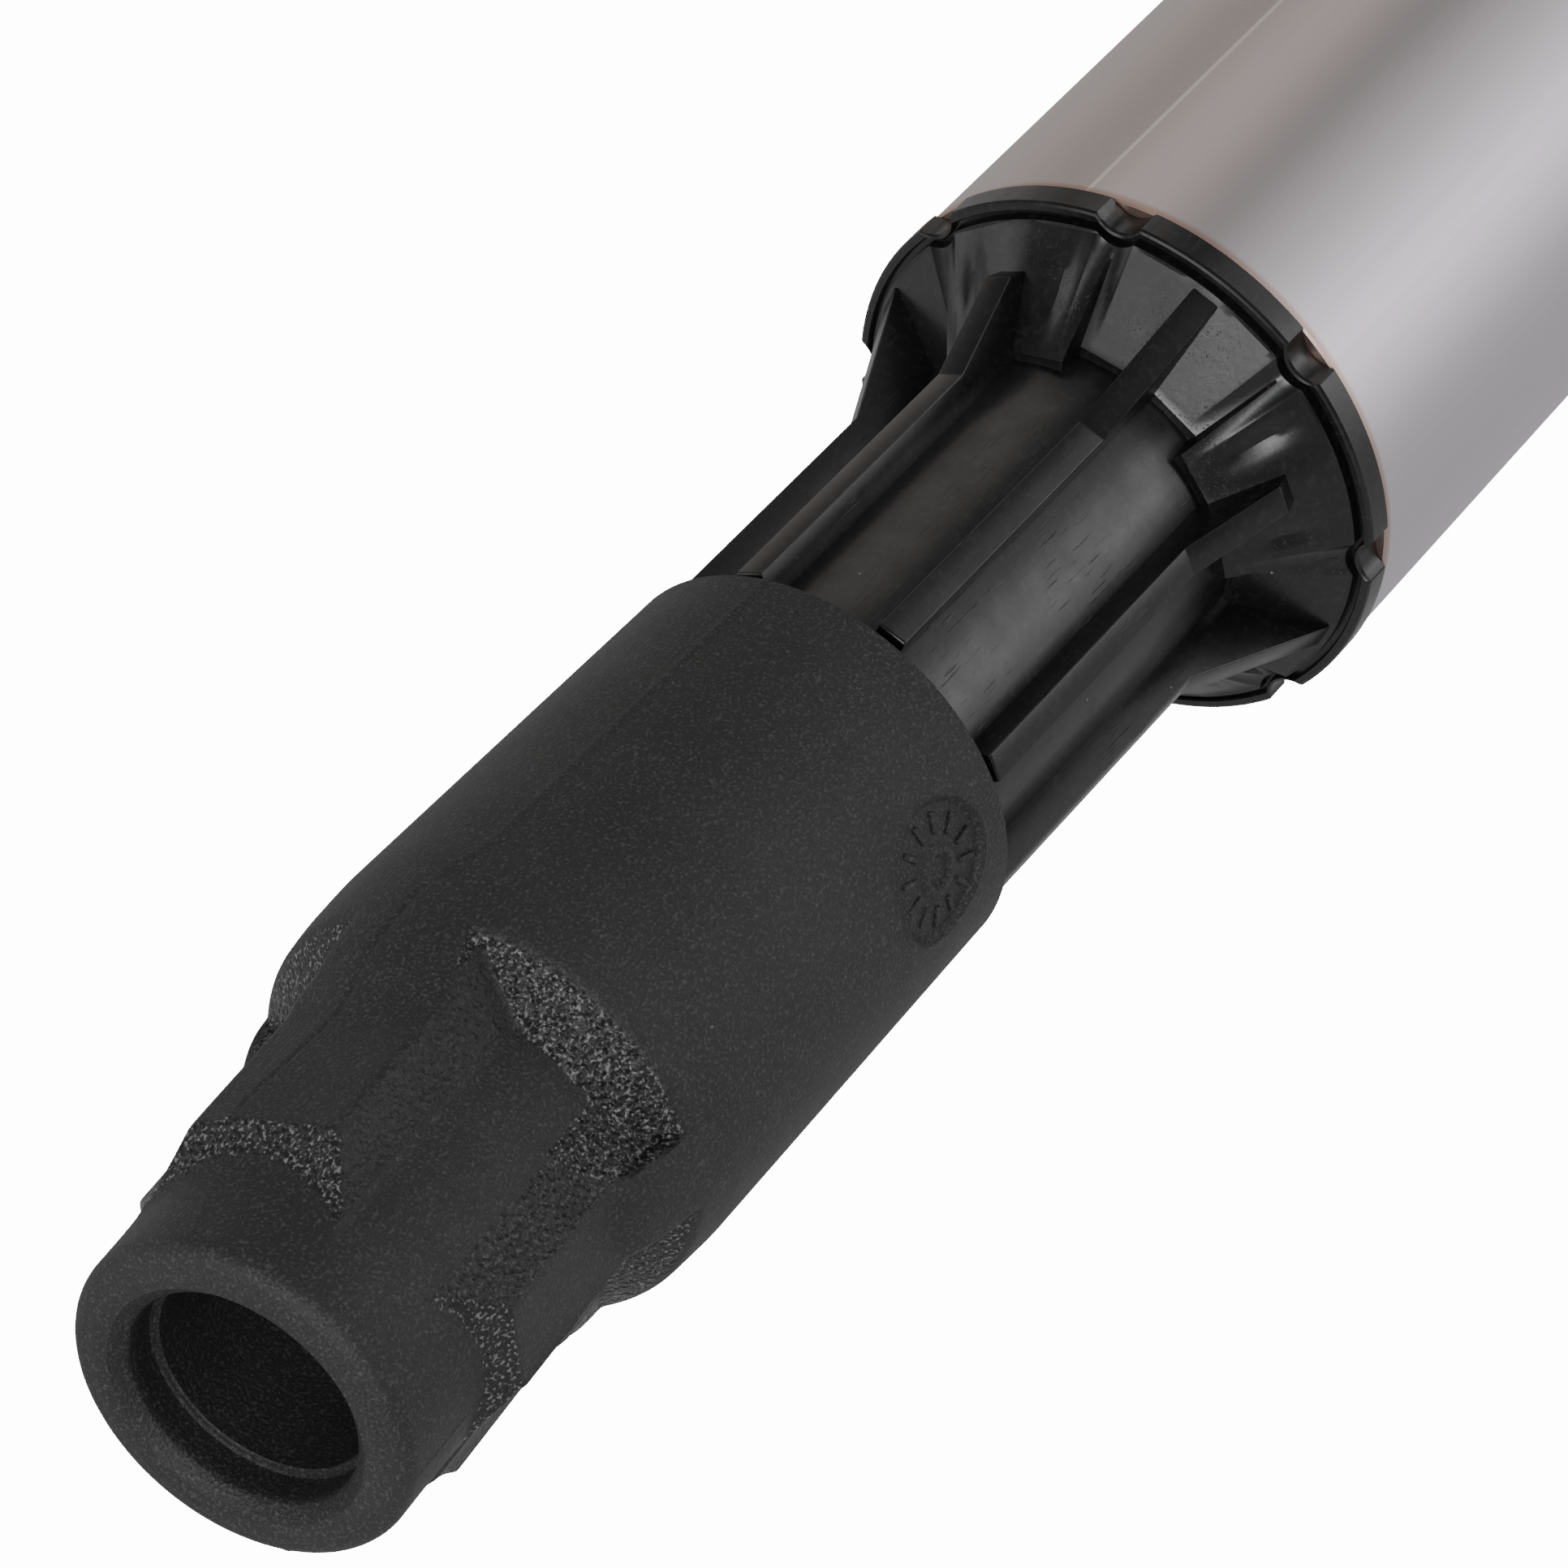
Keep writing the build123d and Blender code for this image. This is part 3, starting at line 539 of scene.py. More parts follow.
# ---------------------------------------------------------------- geometry trees
@dataclass
class GeometryTree:
    """A geometry node tree with named inputs, run once to a plain mesh."""

    tree: bpy.types.NodeTree
    sockets: dict[str, str] = field(default_factory=dict)

    @classmethod
    def new(cls, name: str, inputs: dict[str, str]) -> "GeometryTree":
        """Starts a tree.

        Args:
            name: the tree's name.
            inputs: socket type of each named input.

        Returns:
            The tree, with Geometry in and out.
        """
        tree = bpy.data.node_groups.new(name, "GeometryNodeTree")
        face = tree.interface
        face.new_socket(name="Geometry", in_out="INPUT", socket_type="NodeSocketGeometry")
        made = cls(tree)
        for label, kind in inputs.items():
            socket = face.new_socket(name=label, in_out="INPUT", socket_type=kind)
            made.sockets[label] = socket.identifier
        face.new_socket(name="Geometry", in_out="OUTPUT", socket_type="NodeSocketGeometry")
        return made

    def run(self, name: str, start: bpy.types.Mesh, values: dict[str, object],
            finish: Finish, sharp: float = 38.0) -> bpy.types.Object:
        """Runs the tree on a mesh and gives the finished piece.

        Args:
            name: the piece's name.
            start: mesh that enters the tree.
            values: value of each named input.
            finish: the piece's finish.
            sharp: edges that turn by more than this many degrees stay sharp.

        Returns:
            The piece as a plain mesh, laid down at the origin.
        """
        seed = bpy.data.objects.new(name + "_seed", start)
        bpy.context.scene.collection.objects.link(seed)
        modifier = seed.modifiers.new("shape", "NODES")
        modifier.node_group = self.tree
        for label, value in values.items():
            modifier[self.sockets[label]] = value
        modifier[self.sockets["Finish"]] = finish.material()
        graph = bpy.context.evaluated_depsgraph_get()
        mesh = bpy.data.meshes.new_from_object(seed.evaluated_get(graph), depsgraph=graph)
        seed.modifiers.remove(modifier)
        bpy.data.objects.remove(seed)
        count = len(mesh.vertices)
        flat = np.zeros(count * 3)
        mesh.vertices.foreach_get("co", flat)
        faces = [tuple(p.vertices) for p in mesh.polygons]
        bpy.data.meshes.remove(mesh)
        return make_object(name, AXIS.place(flat.reshape(-1, 3)), faces, finish, sharp)


def finish_tree(wires: Wires, shape: bpy.types.NodeSocket, finish: bpy.types.NodeSocket) -> None:
    """Ends a tree in Realize Instances and Set Material.

    Args:
        wires: the tree's wiring.
        shape: the geometry to end with.
        finish: the material to set.
    """
    real = wires.join("GeometryNodeRealizeInstances", {"Geometry": shape})
    paint = wires.join("GeometryNodeSetMaterial", {"Geometry": real, "Material": finish})
    wires.feed(wires.add("NodeGroupOutput").inputs[0], paint)


def turning_tree() -> GeometryTree:
    """Tree that turns a profile round the pole.

    The mesh that enters holds the profile's points (radius, 0, z) in order, all the way round
    its closed outline.
    """
    made = GeometryTree.new("turned_piece", {
        "Outline points": "NodeSocketInt", "Segments": "NodeSocketInt",
        "Finish": "NodeSocketMaterial"})
    wires = Wires(made.tree)
    entry = wires.add("NodeGroupInput")
    points, segments = entry.outputs["Outline points"], entry.outputs["Segments"]
    rows = wires.math("ADD", points, 1.0)
    grid = wires.join("GeometryNodeMeshGrid", {
        "Size X": 1.0, "Size Y": 1.0, "Vertices X": wires.math("ADD", segments, 1.0),
        "Vertices Y": rows}, "Mesh")
    index = wires.add("GeometryNodeInputIndex").outputs[0]
    row = wires.math("FLOORED_MODULO", index, rows)
    column = wires.math("FLOOR", wires.math("DIVIDE", wires.math("ADD", index, 0.5), rows))
    pick = wires.join("GeometryNodeSampleIndex", {
        "Geometry": entry.outputs["Geometry"],
        "Value": wires.add("GeometryNodeInputPosition").outputs[0],
        "Index": wires.math("FLOORED_MODULO", row, points)}, data_type="FLOAT_VECTOR", domain="POINT")
    split = wires.add("ShaderNodeSeparateXYZ")
    wires.feed(split.inputs[0], pick)
    radius, _, along = split.outputs
    angle = wires.math("MULTIPLY", column, wires.math("DIVIDE", 2 * math.pi, segments))
    place = wires.join("ShaderNodeCombineXYZ", {
        0: wires.math("MULTIPLY", radius, wires.math("COSINE", angle)),
        1: wires.math("MULTIPLY", radius, wires.math("SINE", angle)), 2: along})
    shape = wires.join("GeometryNodeSetPosition", {"Geometry": grid, "Position": place})
    close = wires.join("GeometryNodeMergeByDistance", {"Geometry": shape, "Distance": 1e-4})
    finish_tree(wires, close, entry.outputs["Finish"])
    return made


def copies_tree() -> GeometryTree:
    """Tree that sets copies of a small mesh round the pole and along it.

    The mesh that enters stands at the start of its row: x outwards, z along the pole.
    """
    made = GeometryTree.new("ring_of_copies", {
        "Around": "NodeSocketInt", "Along": "NodeSocketInt", "First turn": "NodeSocketFloat",
        "Step": "NodeSocketFloat", "Stagger": "NodeSocketFloat", "Pitch": "NodeSocketFloat",
        "Finish": "NodeSocketMaterial"})
    wires = Wires(made.tree)
    entry = wires.add("NodeGroupInput")
    around = entry.outputs["Around"]
    total = wires.math("MULTIPLY", around, entry.outputs["Along"])
    spots = wires.join("GeometryNodePoints", {"Count": total})
    index = wires.add("GeometryNodeInputIndex").outputs[0]
    column = wires.math("FLOORED_MODULO", index, around)
    row = wires.math("FLOOR", wires.math("DIVIDE", wires.math("ADD", index, 0.5), around))
    place = wires.join("ShaderNodeCombineXYZ", {
        2: wires.math("MULTIPLY", row, entry.outputs["Pitch"])})
    move = wires.join("GeometryNodeSetPosition", {"Geometry": spots, "Position": place})
    turn = wires.math("MULTIPLY_ADD", column, entry.outputs["Step"], entry.outputs["First turn"])
    turn = wires.math("MULTIPLY_ADD", row, entry.outputs["Stagger"], turn)
    copies = wires.join("GeometryNodeInstanceOnPoints", {
        "Points": move, "Instance": entry.outputs["Geometry"],
        "Rotation": wires.join("ShaderNodeCombineXYZ", {2: turn})})
    finish_tree(wires, copies, entry.outputs["Finish"])
    return made


TURNING = turning_tree()
COPIES = copies_tree()


def turned(name: str, outline: list[tuple[float, float]], finish: Finish, segments: int = 128,
           sharp: float = 38.0) -> bpy.types.Object:
    """Turns a closed outline round the pole.

    Args:
        name: the piece's name.
        outline: (radius, z) of each corner in millimetres, in order.
        finish: the piece's finish.
        segments: faces round the piece.
        sharp: edges that turn by more than this many degrees stay sharp.

    Returns:
        The finished piece.
    """
    seed = bpy.data.meshes.new(name + "_outline")
    count = len(outline)
    edges = [(i, (i + 1) % count) for i in range(count)]
    seed.from_pydata([(r, 0.0, z) for r, z in outline], edges, [])
    return TURNING.run(name, seed, {"Outline points": count, "Segments": segments}, finish, sharp)


def rounded(outline: list[tuple[float, float]], radius: float, steps: int = 4) -> list[
        tuple[float, float]]:
    """Rounds every corner of a closed outline.

    Args:
        outline: corners in order.
        radius: distance cut from each side of a corner, at most 0.45 of that side.
        steps: points that make each rounded corner.

    Returns:
        The new outline.
    """
    points = [np.array(p, float) for p in outline]
    made: list[tuple[float, float]] = []
    for i, here in enumerate(points):
        before, after = points[i - 1], points[(i + 1) % len(points)]
        a, b = before - here, after - here
        cut_a = min(radius, 0.45 * np.linalg.norm(a)) / np.linalg.norm(a)
        cut_b = min(radius, 0.45 * np.linalg.norm(b)) / np.linalg.norm(b)
        start, end = here + a * cut_a, here + b * cut_b
        for t in np.linspace(0, 1, steps):
            spot = (1 - t) ** 2 * start + 2 * t * (1 - t) * here + t * t * end
            made.append((float(spot[0]), float(spot[1])))
    return made


def plate_mesh(name: str, outline: list[tuple[float, float]], half: float, bevel: float,
               segments: int = 2) -> bpy.types.Mesh:
    """Flat plate standing in the plane of x and z, with its edges rounded.

    Args:
        name: the mesh's name.
        outline: (x, z) corners in millimetres, in order.
        half: half the plate's thickness along y.
        bevel: size of the rounded edges.
        segments: steps of each rounded edge.

    Returns:
        The mesh, in the pole's millimetres.
    """
    made = bmesh.new()
    face = made.faces.new([made.verts.new((x, -half, z)) for x, z in outline])
    grown = bmesh.ops.extrude_face_region(made, geom=[face])
    moved = [v for v in grown["geom"] if isinstance(v, bmesh.types.BMVert)]
    bmesh.ops.translate(made, verts=moved, vec=(0, 2 * half, 0))
    bmesh.ops.recalc_face_normals(made, faces=made.faces)
    bmesh.ops.bevel(made, geom=list(made.edges), offset=bevel, segments=segments, profile=0.5,
                    affect="EDGES", clamp_overlap=True)
    bmesh.ops.triangulate(made, faces=[f for f in made.faces if len(f.verts) > 4])
    mesh = bpy.data.meshes.new(name)
    made.to_mesh(mesh)
    made.free()
    return mesh


def wear(piece: bpy.types.Object, body: Body, finish: Finish, *nodes: str) -> bpy.types.Object:
    """Ties a piece to its body and hides the CAD nodes it stands for.

    Args:
        piece: the finished piece.
        body: the body it rides on.
        finish: the piece's finish; not used.
        nodes: CAD nodes that it stands for.

    Returns:
        The piece.
    """
    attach(piece, body.value)
    if nodes:
        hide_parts(*nodes)
    log.info("%s: %d faces on %s", piece.name, len(piece.data.polygons), body.value)
    return piece


# ---------------------------------------------------------------- tool cone
@dataclass
class ToolCone:
    """Hollow cone over the post, with a leaning splined nose and its bore.

    Sizes are in millimetres; w runs along the nose's own axis from its root.
    """

    rear_z: float = -34.4
    body_line: tuple[tuple[float, float], ...] = (
        (-74.6, 9.9), (-74.0, 10.45), (-73.3, 11.0), (-72.3, 11.6), (-71.2, 12.18), (-70.1, 12.65),
        (-69.0, 12.98), (-67.9, 13.15), (-65.7, 13.43), (-62.4, 13.6), (-34.4, 13.05))
    face_z: float = -74.6
    nose_root: float = -64.7
    nose_r: float = 10.05
    nose_length: float = 27.6
    nose_tilt: float = 6.4
    nose_turn: float = 63.0
    nose_round: float = 1.2
    spline_turns: tuple[float, ...] = (-18.0, 84.0, 162.0, 264.0)
    spline_r: float = 11.2
    spline_crest: tuple[float, float] = (4.4, 2.6)
    spline_base: tuple[float, float] = (5.8, 5.2)
    spline_foot: float = 8.55
    spline_end: float = 18.0
    ramp: float = 1.304
    ramp_scale: float = 0.61
    burr: float = 0.07
    burr_width: float = 0.13
    half_drop: float = 0.15
    seam_line: tuple[tuple[float, float], ...] = (
        (-4.0, -12.3), (1.0, -18.9), (8.7, -24.0), (16.8, -29.0), (22.0, -24.4), (26.0, -17.5),
        (28.0, -15.0))
    slide_turn: float = 97.0
    bay_start: float = 4.7
    bay_slope: float = 0.768
    bay_scale: float = 0.793
    bay_half_turn: float = 52.0
    bore_r: float = 6.3
    mouth_r: float = 6.75
    mouth_depth: float = 3.0
    mouth_chamfer: float = 0.9
    bore_end: float = 10.6
    relief_r: float = 6.8
    bore_floor: float = 6.5
    socket_r: float = 10.55
    socket_floor: float = -66.0
    stamp_turn: float = 75.0
    stamp_z: float = -40.7
    stamp_r: float = 4.0
    stamp_depth: float = 0.35
    around: int = 420

    def nose_axes(self) -> tuple[np.ndarray, np.ndarray, np.ndarray]:
        """Gives the nose's outward axis and its two cross axes."""
        tilt, turn = math.radians(self.nose_tilt), math.radians(self.nose_turn)
        out = np.array([math.sin(tilt) * math.cos(turn), math.sin(tilt) * math.sin(turn),
                        -math.cos(tilt)])
        first = np.array([1.0, 0.0, 0.0]) - out * out[0]
        first /= np.linalg.norm(first)
        return out, first, -np.cross(out, first)

    def turns(self) -> np.ndarray:
        """Turn of every column of the skin, in radians."""
        return np.radians(np.arange(self.around) * 360.0 / self.around)

    def body_radius(self, z: np.ndarray) -> np.ndarray:
        """Radius of the turned body at z, with its outline's corners smoothed."""
        zs, rs = zip(*self.body_line)
        steps = np.linspace(-0.6, 0.6, 7)
        return sum(np.interp(z + d, zs, rs) for d in steps) / len(steps)

    def over_spline(self, turn: np.ndarray, rho: np.ndarray, index: int) -> tuple[
            np.ndarray, np.ndarray, np.ndarray]:
        """Where points lie in one spline's own section.

        Args:
            turn: turn of each point round the nose.
            rho: distance of each point from the nose's axis.
            index: which spline.

        Returns:
            Height above the axis, place across, and share of the way up the side wall.
        """
        delta = np.radians(turn_gap(turn, self.spline_turns[index]))
        up, along = rho * np.cos(delta), rho * np.sin(delta)
        return up, along, (up - self.spline_foot) / (self.spline_r - self.spline_foot)

    def wall_gap(self, index: int, share: np.ndarray, across: np.ndarray) -> np.ndarray:
        """Distance into a spline from its side wall.

        Args:
            index: which spline.
            share: share of the way up the wall.
            across: distance from the spline's middle plane.

        Returns:
            Distance, positive inside the spline.
        """
        crest, base = self.spline_crest[index % 2], self.spline_base[index % 2]
        lean = (base - crest) / (self.spline_r - self.spline_foot)
        return (base + (crest - base) * share - across) / math.hypot(1.0, lean)

    def flank(self, turn: np.ndarray, rho: np.ndarray, index: int, hand: float) -> np.ndarray:
        """Distance into a spline from the plane of one of its side walls.

        Args:
            turn: turn of each point round the nose.
            rho: distance of each point from the nose's axis.
            index: which spline.
            hand: 1 for the wall on the side of rising turns, -1 for the other.

        Returns:
            Distance, positive on the spline's side of the wall.
        """
        _, along, share = self.over_spline(turn, rho, index)
        share = np.clip(share, 0.0, 1.0 if index % 2 else 1.8)
        return self.wall_gap(index, share, hand * along)

    def shoulder(self, body: np.ndarray, w: np.ndarray, rho: np.ndarray,
                 turn: np.ndarray) -> tuple[np.ndarray, np.ndarray]:
        """Cuts the bays between splines out of the turned body.

        Args:
            body: depth of each point below the turned body's surface.
            w: place of each point along the nose.
            rho: distance of each point from the nose's axis.
            turn: turn of each point round the nose.

        Returns:
            Depth below what is left, and how coarse the surface is there.
        """
        cut = (self.bay_start - self.bay_slope * (rho - self.nose_r) - w) * self.bay_scale
        cheek = np.full_like(w, 9.0)
        for index, low in enumerate(self.spline_turns):
            after = (index + 1) % len(self.spline_turns)
            middle = low + (self.spline_turns[after] - low) % 360.0 / 2
            side = np.maximum(self.flank(turn, rho, index, 1.0), self.flank(turn, rho, after, -1.0))
            far = (np.abs(turn_gap(turn, middle)) - self.bay_half_turn) * np.radians(1.0) * rho
            cheek = np.minimum(cheek, soft_max(cut, np.maximum(side, far), 0.15))
        kept = soft_min(body, cheek, 0.38)
        return kept, np.clip((body - cheek) / 0.3, 0, 1) * (kept > -0.12)

    def solid(self, p: np.ndarray) -> tuple[np.ndarray, np.ndarray]:
        """Depth of points below the cone's outer surface.

        Args:
            p: points in the pole's millimetres.

        Returns:
            Depth, positive inside, and how coarse the surface is there, 0 to 1.
        """
        out, first, second = self.nose_axes()
        body = self.body_radius(p[..., 2]) - np.hypot(p[..., 0], p[..., 1])
        body = np.minimum(body, p[..., 2] - self.face_z)
        q = p - np.array([0.0, 0.0, self.nose_root])
        w, a, b = q @ out, q @ first, q @ second
        rho = np.hypot(a, b)
        turn = np.degrees(np.arctan2(b, a))
        kept, coarse = self.shoulder(body, w, rho, turn)
        nose = np.minimum(self.nose_r - rho, w + 1.0)
        solid = soft_max(kept, nose, 0.3)
        for index in range(len(self.spline_turns)):
            narrow = index % 2 == 1
            up, along, share = self.over_spline(turn, rho, index)
            wall = self.wall_gap(index, share, np.abs(along))
            top = self.spline_r - up
            if narrow:
                crest = self.spline_crest[1]
                top = top + self.burr * np.exp(-((along - crest) / self.burr_width) ** 2)
                edge = np.where(along > 0, 0.06, 0.2)
            else:
                fold = np.interp(w, (1.0, 17.0), (-0.2, -2.1))
                top = top - self.half_drop * np.clip(fold - along, 0.0, None)
                edge = 0.3
            front = (self.spline_end + self.ramp * (self.spline_r - up) - w) * self.ramp_scale
            tooth = soft_min(soft_min(top, wall, edge), front, 0.16)
            tooth = np.minimum(tooth, np.minimum(up - self.spline_foot, w + 0.5))
            is_front = (front < top + 0.04) & (front < wall + 0.3) & (tooth > solid - 0.1)
            is_wall = (wall < top) & (wall <= front) & (tooth > solid - 0.05)
            rough = np.where(is_front, 1.0, np.where(is_wall, 0.75 if narrow else 0.5, 0.0))
            on_top = (tooth > solid) & ~is_front & ~is_wall
            coarse = np.where(on_top, 0.0, np.maximum(coarse, rough))
            solid = soft_max(solid, tooth, 0.18 if narrow else 1.0)
        return solid, coarse

    def row_frames(self) -> tuple[np.ndarray, np.ndarray]:
        """Gives the centre and tilt share of each ring of the outer skin, rear to front."""
        z = np.concatenate([
            np.linspace(self.rear_z - 0.12, -36.0, 4), np.arange(-36.3, -45.2, -0.16),
            np.linspace(-46.2, -61.4, 14), np.arange(-61.9, -66.2, -0.3),
            np.arange(-66.3, -75.4, -0.15)])
        share = np.clip((-61.5 - z) / 3.0, 0.0, 1.0)
        share = share * share * (3 - 2 * share)
        return z, share

    def outer_rings(self) -> tuple[np.ndarray, np.ndarray]:
        """Casts rays out to the cone's skin.

        Returns:
            Points of each ring and the coarse value at each.
        """
        out, first, second = self.nose_axes()
        turns = self.turns()
        level, share = self.row_frames()
        root = np.array([0.0, 0.0, self.nose_root])
        w = np.concatenate([-(level - self.nose_root), np.linspace(10.95, 16.4, 12),
                            np.arange(16.6, 20.3, 0.16), np.linspace(20.6, 26.3, 14)])
        share = np.concatenate([share, np.ones(len(w) - len(share))])
        straight = np.stack([np.zeros_like(w), np.zeros_like(w), self.nose_root - w], axis=-1)
        centre = straight * (1 - share[:, None]) + (root + w[:, None] * out) * share[:, None]
        e1 = np.array([1.0, 0, 0]) * (1 - share[:, None]) + first * share[:, None]
        e2 = np.array([0, 1.0, 0]) * (1 - share[:, None]) + second * share[:, None]
        e1 /= np.linalg.norm(e1, axis=1)[:, None]
        e2 /= np.linalg.norm(e2, axis=1)[:, None]
        ray = (e1[:, None, :] * np.cos(turns)[None, :, None]
               + e2[:, None, :] * np.sin(turns)[None, :, None])
        low = np.full(ray.shape[:2], 7.0)
        high = np.full(ray.shape[:2], 16.0)
        for _ in range(20):
            mid = (low + high) / 2
            inside = self.solid(centre[:, None, :] + ray * mid[..., None])[0] > 0
            low = np.where(inside, mid, low)
            high = np.where(inside, high, mid)
        radius = low + self.relief(centre[:, None, :] + ray * low[..., None], np.degrees(turns))
        points = centre[:, None, :] + ray * radius[..., None]
        coarse = self.solid(points)[1]
        return points, coarse

    def relief(self, p: np.ndarray, turns: np.ndarray) -> np.ndarray:
        """Small steps in the skin: parting line, slide line and the round stamp's recess.

        Args:
            p: points of the skin before the steps, by ring and column.
            turns: turn of each column, in degrees.

        Returns:
            Rise of each point in millimetres, negative inwards.
        """
        out = self.nose_axes()[0]
        w = ((p - np.array([0.0, 0.0, self.nose_root])) @ out).mean(axis=1)
        seam = np.interp(w, *zip(*self.seam_line))[:, None]
        height = np.interp(w, (-1.0, 1.0, 17.0, 19.0), (0.08, -0.11, -0.11, 0.05))[:, None]
        lift = np.zeros(p.shape[:2])
        for offset in (0.0, 180.0):
            gap = turn_gap(turns[None, :], seam + offset) * math.radians(1.0) * 12.0
            lift += height * np.exp(-(gap / 0.14) ** 2)
            slide = turn_gap(turns[None, :], self.slide_turn + offset) * math.radians(1.0) * 11.0
            lift += 0.06 * np.exp(-(slide / 0.11) ** 2) * (w[:, None] > 12.0)
        angle = np.degrees(np.arctan2(p[..., 1], p[..., 0]))
        side = turn_gap(angle, self.stamp_turn) * math.radians(1.0) * 13.2
        far = np.hypot(side, p[..., 2] - self.stamp_z)
        lift -= self.stamp_depth * np.clip((self.stamp_r + 0.1 - far) / 0.2, 0.0, 1.0)
        lift += 0.10 * np.exp(-((far - self.stamp_r - 0.25) / 0.16) ** 2)
        lift += 0.22 * np.clip((1.45 - np.abs(far - 0.2)) / 0.2, 0, 1) * (far > 0.9)
        return lift

    def nose_rings(self) -> np.ndarray:
        """Rings of the nose's rounded end, its mouth and its bore."""
        out, first, second = self.nose_axes()
        length, round_r = self.nose_length, self.nose_round
        profile = []
        for t in np.linspace(0, 90, 9)[1:]:
            a = math.radians(t)
            profile.append((self.nose_r - round_r + round_r * math.cos(a),
                            length - 0.14 - round_r + round_r * math.sin(a)))
        rim = self.mouth_r + self.mouth_chamfer
        for r in np.linspace(self.nose_r - round_r, rim + 0.1, 6)[1:]:
            profile.append((r, length - 0.14 * abs((r - 8.35) / 0.6) ** 2))
        profile += [(rim - 0.05, length - 0.12), (rim - 0.2, length - 0.28),
                    (self.mouth_r + 0.12, length - self.mouth_chamfer + 0.1),
                    (self.mouth_r + 0.02, length - self.mouth_chamfer - 0.1),
                    (self.mouth_r, length - 1.6), (self.mouth_r, length - self.mouth_depth + 0.15),
                    (self.mouth_r - 0.1, length - self.mouth_depth),
                    (self.bore_r + 0.08, length - self.mouth_depth),
                    (self.bore_r, length - self.mouth_depth - 0.1),
                    (self.bore_r, 20.0), (self.bore_r, self.bore_end + 0.1),
                    (self.bore_r + 0.1, self.bore_end), (self.relief_r, self.bore_end),
                    (self.relief_r, self.bore_floor + 0.3), (self.relief_r - 0.3, self.bore_floor),
                    (3.2, self.bore_floor)]
        turns = self.turns()
        root = np.array([0.0, 0.0, self.nose_root])
        rings = []
        for r, w in profile:
            lift = np.zeros(self.around)
            if w > self.nose_length - 1.5:
                last = self.seam_line[-1][1]
                for seam, height in ((last, 0.05), (last + 180.0, 0.12)):
                    gap = np.abs(turn_gap(np.degrees(turns), seam)) * math.radians(1.0) * r
                    lift += height * np.exp(-(gap / 0.12) ** 2)
            grow = lift if r > rim else -lift
            ring = (root + w * out + (r + grow[:, None] * 0.8)
                    * (first * np.cos(turns)[:, None] + second * np.sin(turns)[:, None]))
            rings.append(ring)
        return np.array(rings)

    def socket_rings(self) -> np.ndarray:
        """Rings of the socket over the post and of the flat rear rim."""
        turns = self.turns()
        rear_r = self.body_line[-1][1]
        profile = [(4.0, self.socket_floor), (self.socket_r, self.socket_floor),
                   (self.socket_r, -50.0), (self.socket_r, self.rear_z - 0.2),
                   (self.socket_r + 0.2, self.rear_z), (rear_r - 0.12, self.rear_z)]
        rings = [np.stack([r * np.cos(turns), r * np.sin(turns), np.full_like(turns, z)], axis=-1)
                 for r, z in profile]
        return np.array(rings)

    def build(self) -> None:
        """Builds the cone and the marks of its mould stamp."""
        outer, coarse = self.outer_rings()
        socket, nose = self.socket_rings(), self.nose_rings()
        rings = np.concatenate([socket, outer, nose])
        out = self.nose_axes()[0]
        floor = np.array([0.0, 0.0, self.nose_root]) + self.bore_floor * out
        verts, faces = skin(rings, np.array([0.0, 0.0, self.socket_floor]), floor)
        cone = make_object("pole_cone_shell", AXIS.place(verts), faces, CONE_PLASTIC, sharp=32.0)
        values = np.zeros(len(verts), np.float32)
        start = socket.shape[0] * self.around
        values[start:start + coarse.size] = coarse.reshape(-1)
        # These coarse values also mark where the cone's finish paints shade and glints.
        if len(cone.data.vertices) == len(values):
            mark = cone.data.attributes.new("coarse", "FLOAT", "POINT")
            mark.data.foreach_set("value", values)
        wear(cone, Body.SLIDER, CONE_PLASTIC, "pole_cone")
        self.stamp_marks()

    def stamp_marks(self) -> None:
        """Sets plain dashes round the stamp's recess, like the ticks of a dial."""
        floor = 13.14 - self.stamp_depth
        tick = plate_mesh("stamp_tick", [(2.05, 0.0), (3.35, 0.0), (3.3, 0.25), (2.1, 0.25)],
                          0.17, 0.05, 1)
        ticks = COPIES.run("stamp_ticks", tick, {
            "Around": 12, "Along": 1, "First turn": 0.2, "Step": math.radians(30.0),
            "Stagger": 0.0, "Pitch": 0.0}, CONE_PLASTIC)
        flat = np.zeros(len(ticks.data.vertices) * 3)
        ticks.data.vertices.foreach_get("co", flat)
        p = flat.reshape(-1, 3) / MM
        across, along, rise = p[:, 2] - AXIS.height / MM, -p[:, 1], p[:, 0] - AXIS.mouth / MM
        radius = floor - 0.04 + rise - across ** 2 / 26.4
        turn = math.radians(self.stamp_turn)
        local = np.stack([radius * math.cos(turn) - across * math.sin(turn),
                          radius * math.sin(turn) + across * math.cos(turn),
                          along + self.stamp_z], axis=-1)
        ticks.data.vertices.foreach_set("co", AXIS.place(local).reshape(-1))
        ticks.data.update()
        wear(ticks, Body.SLIDER, CONE_PLASTIC)


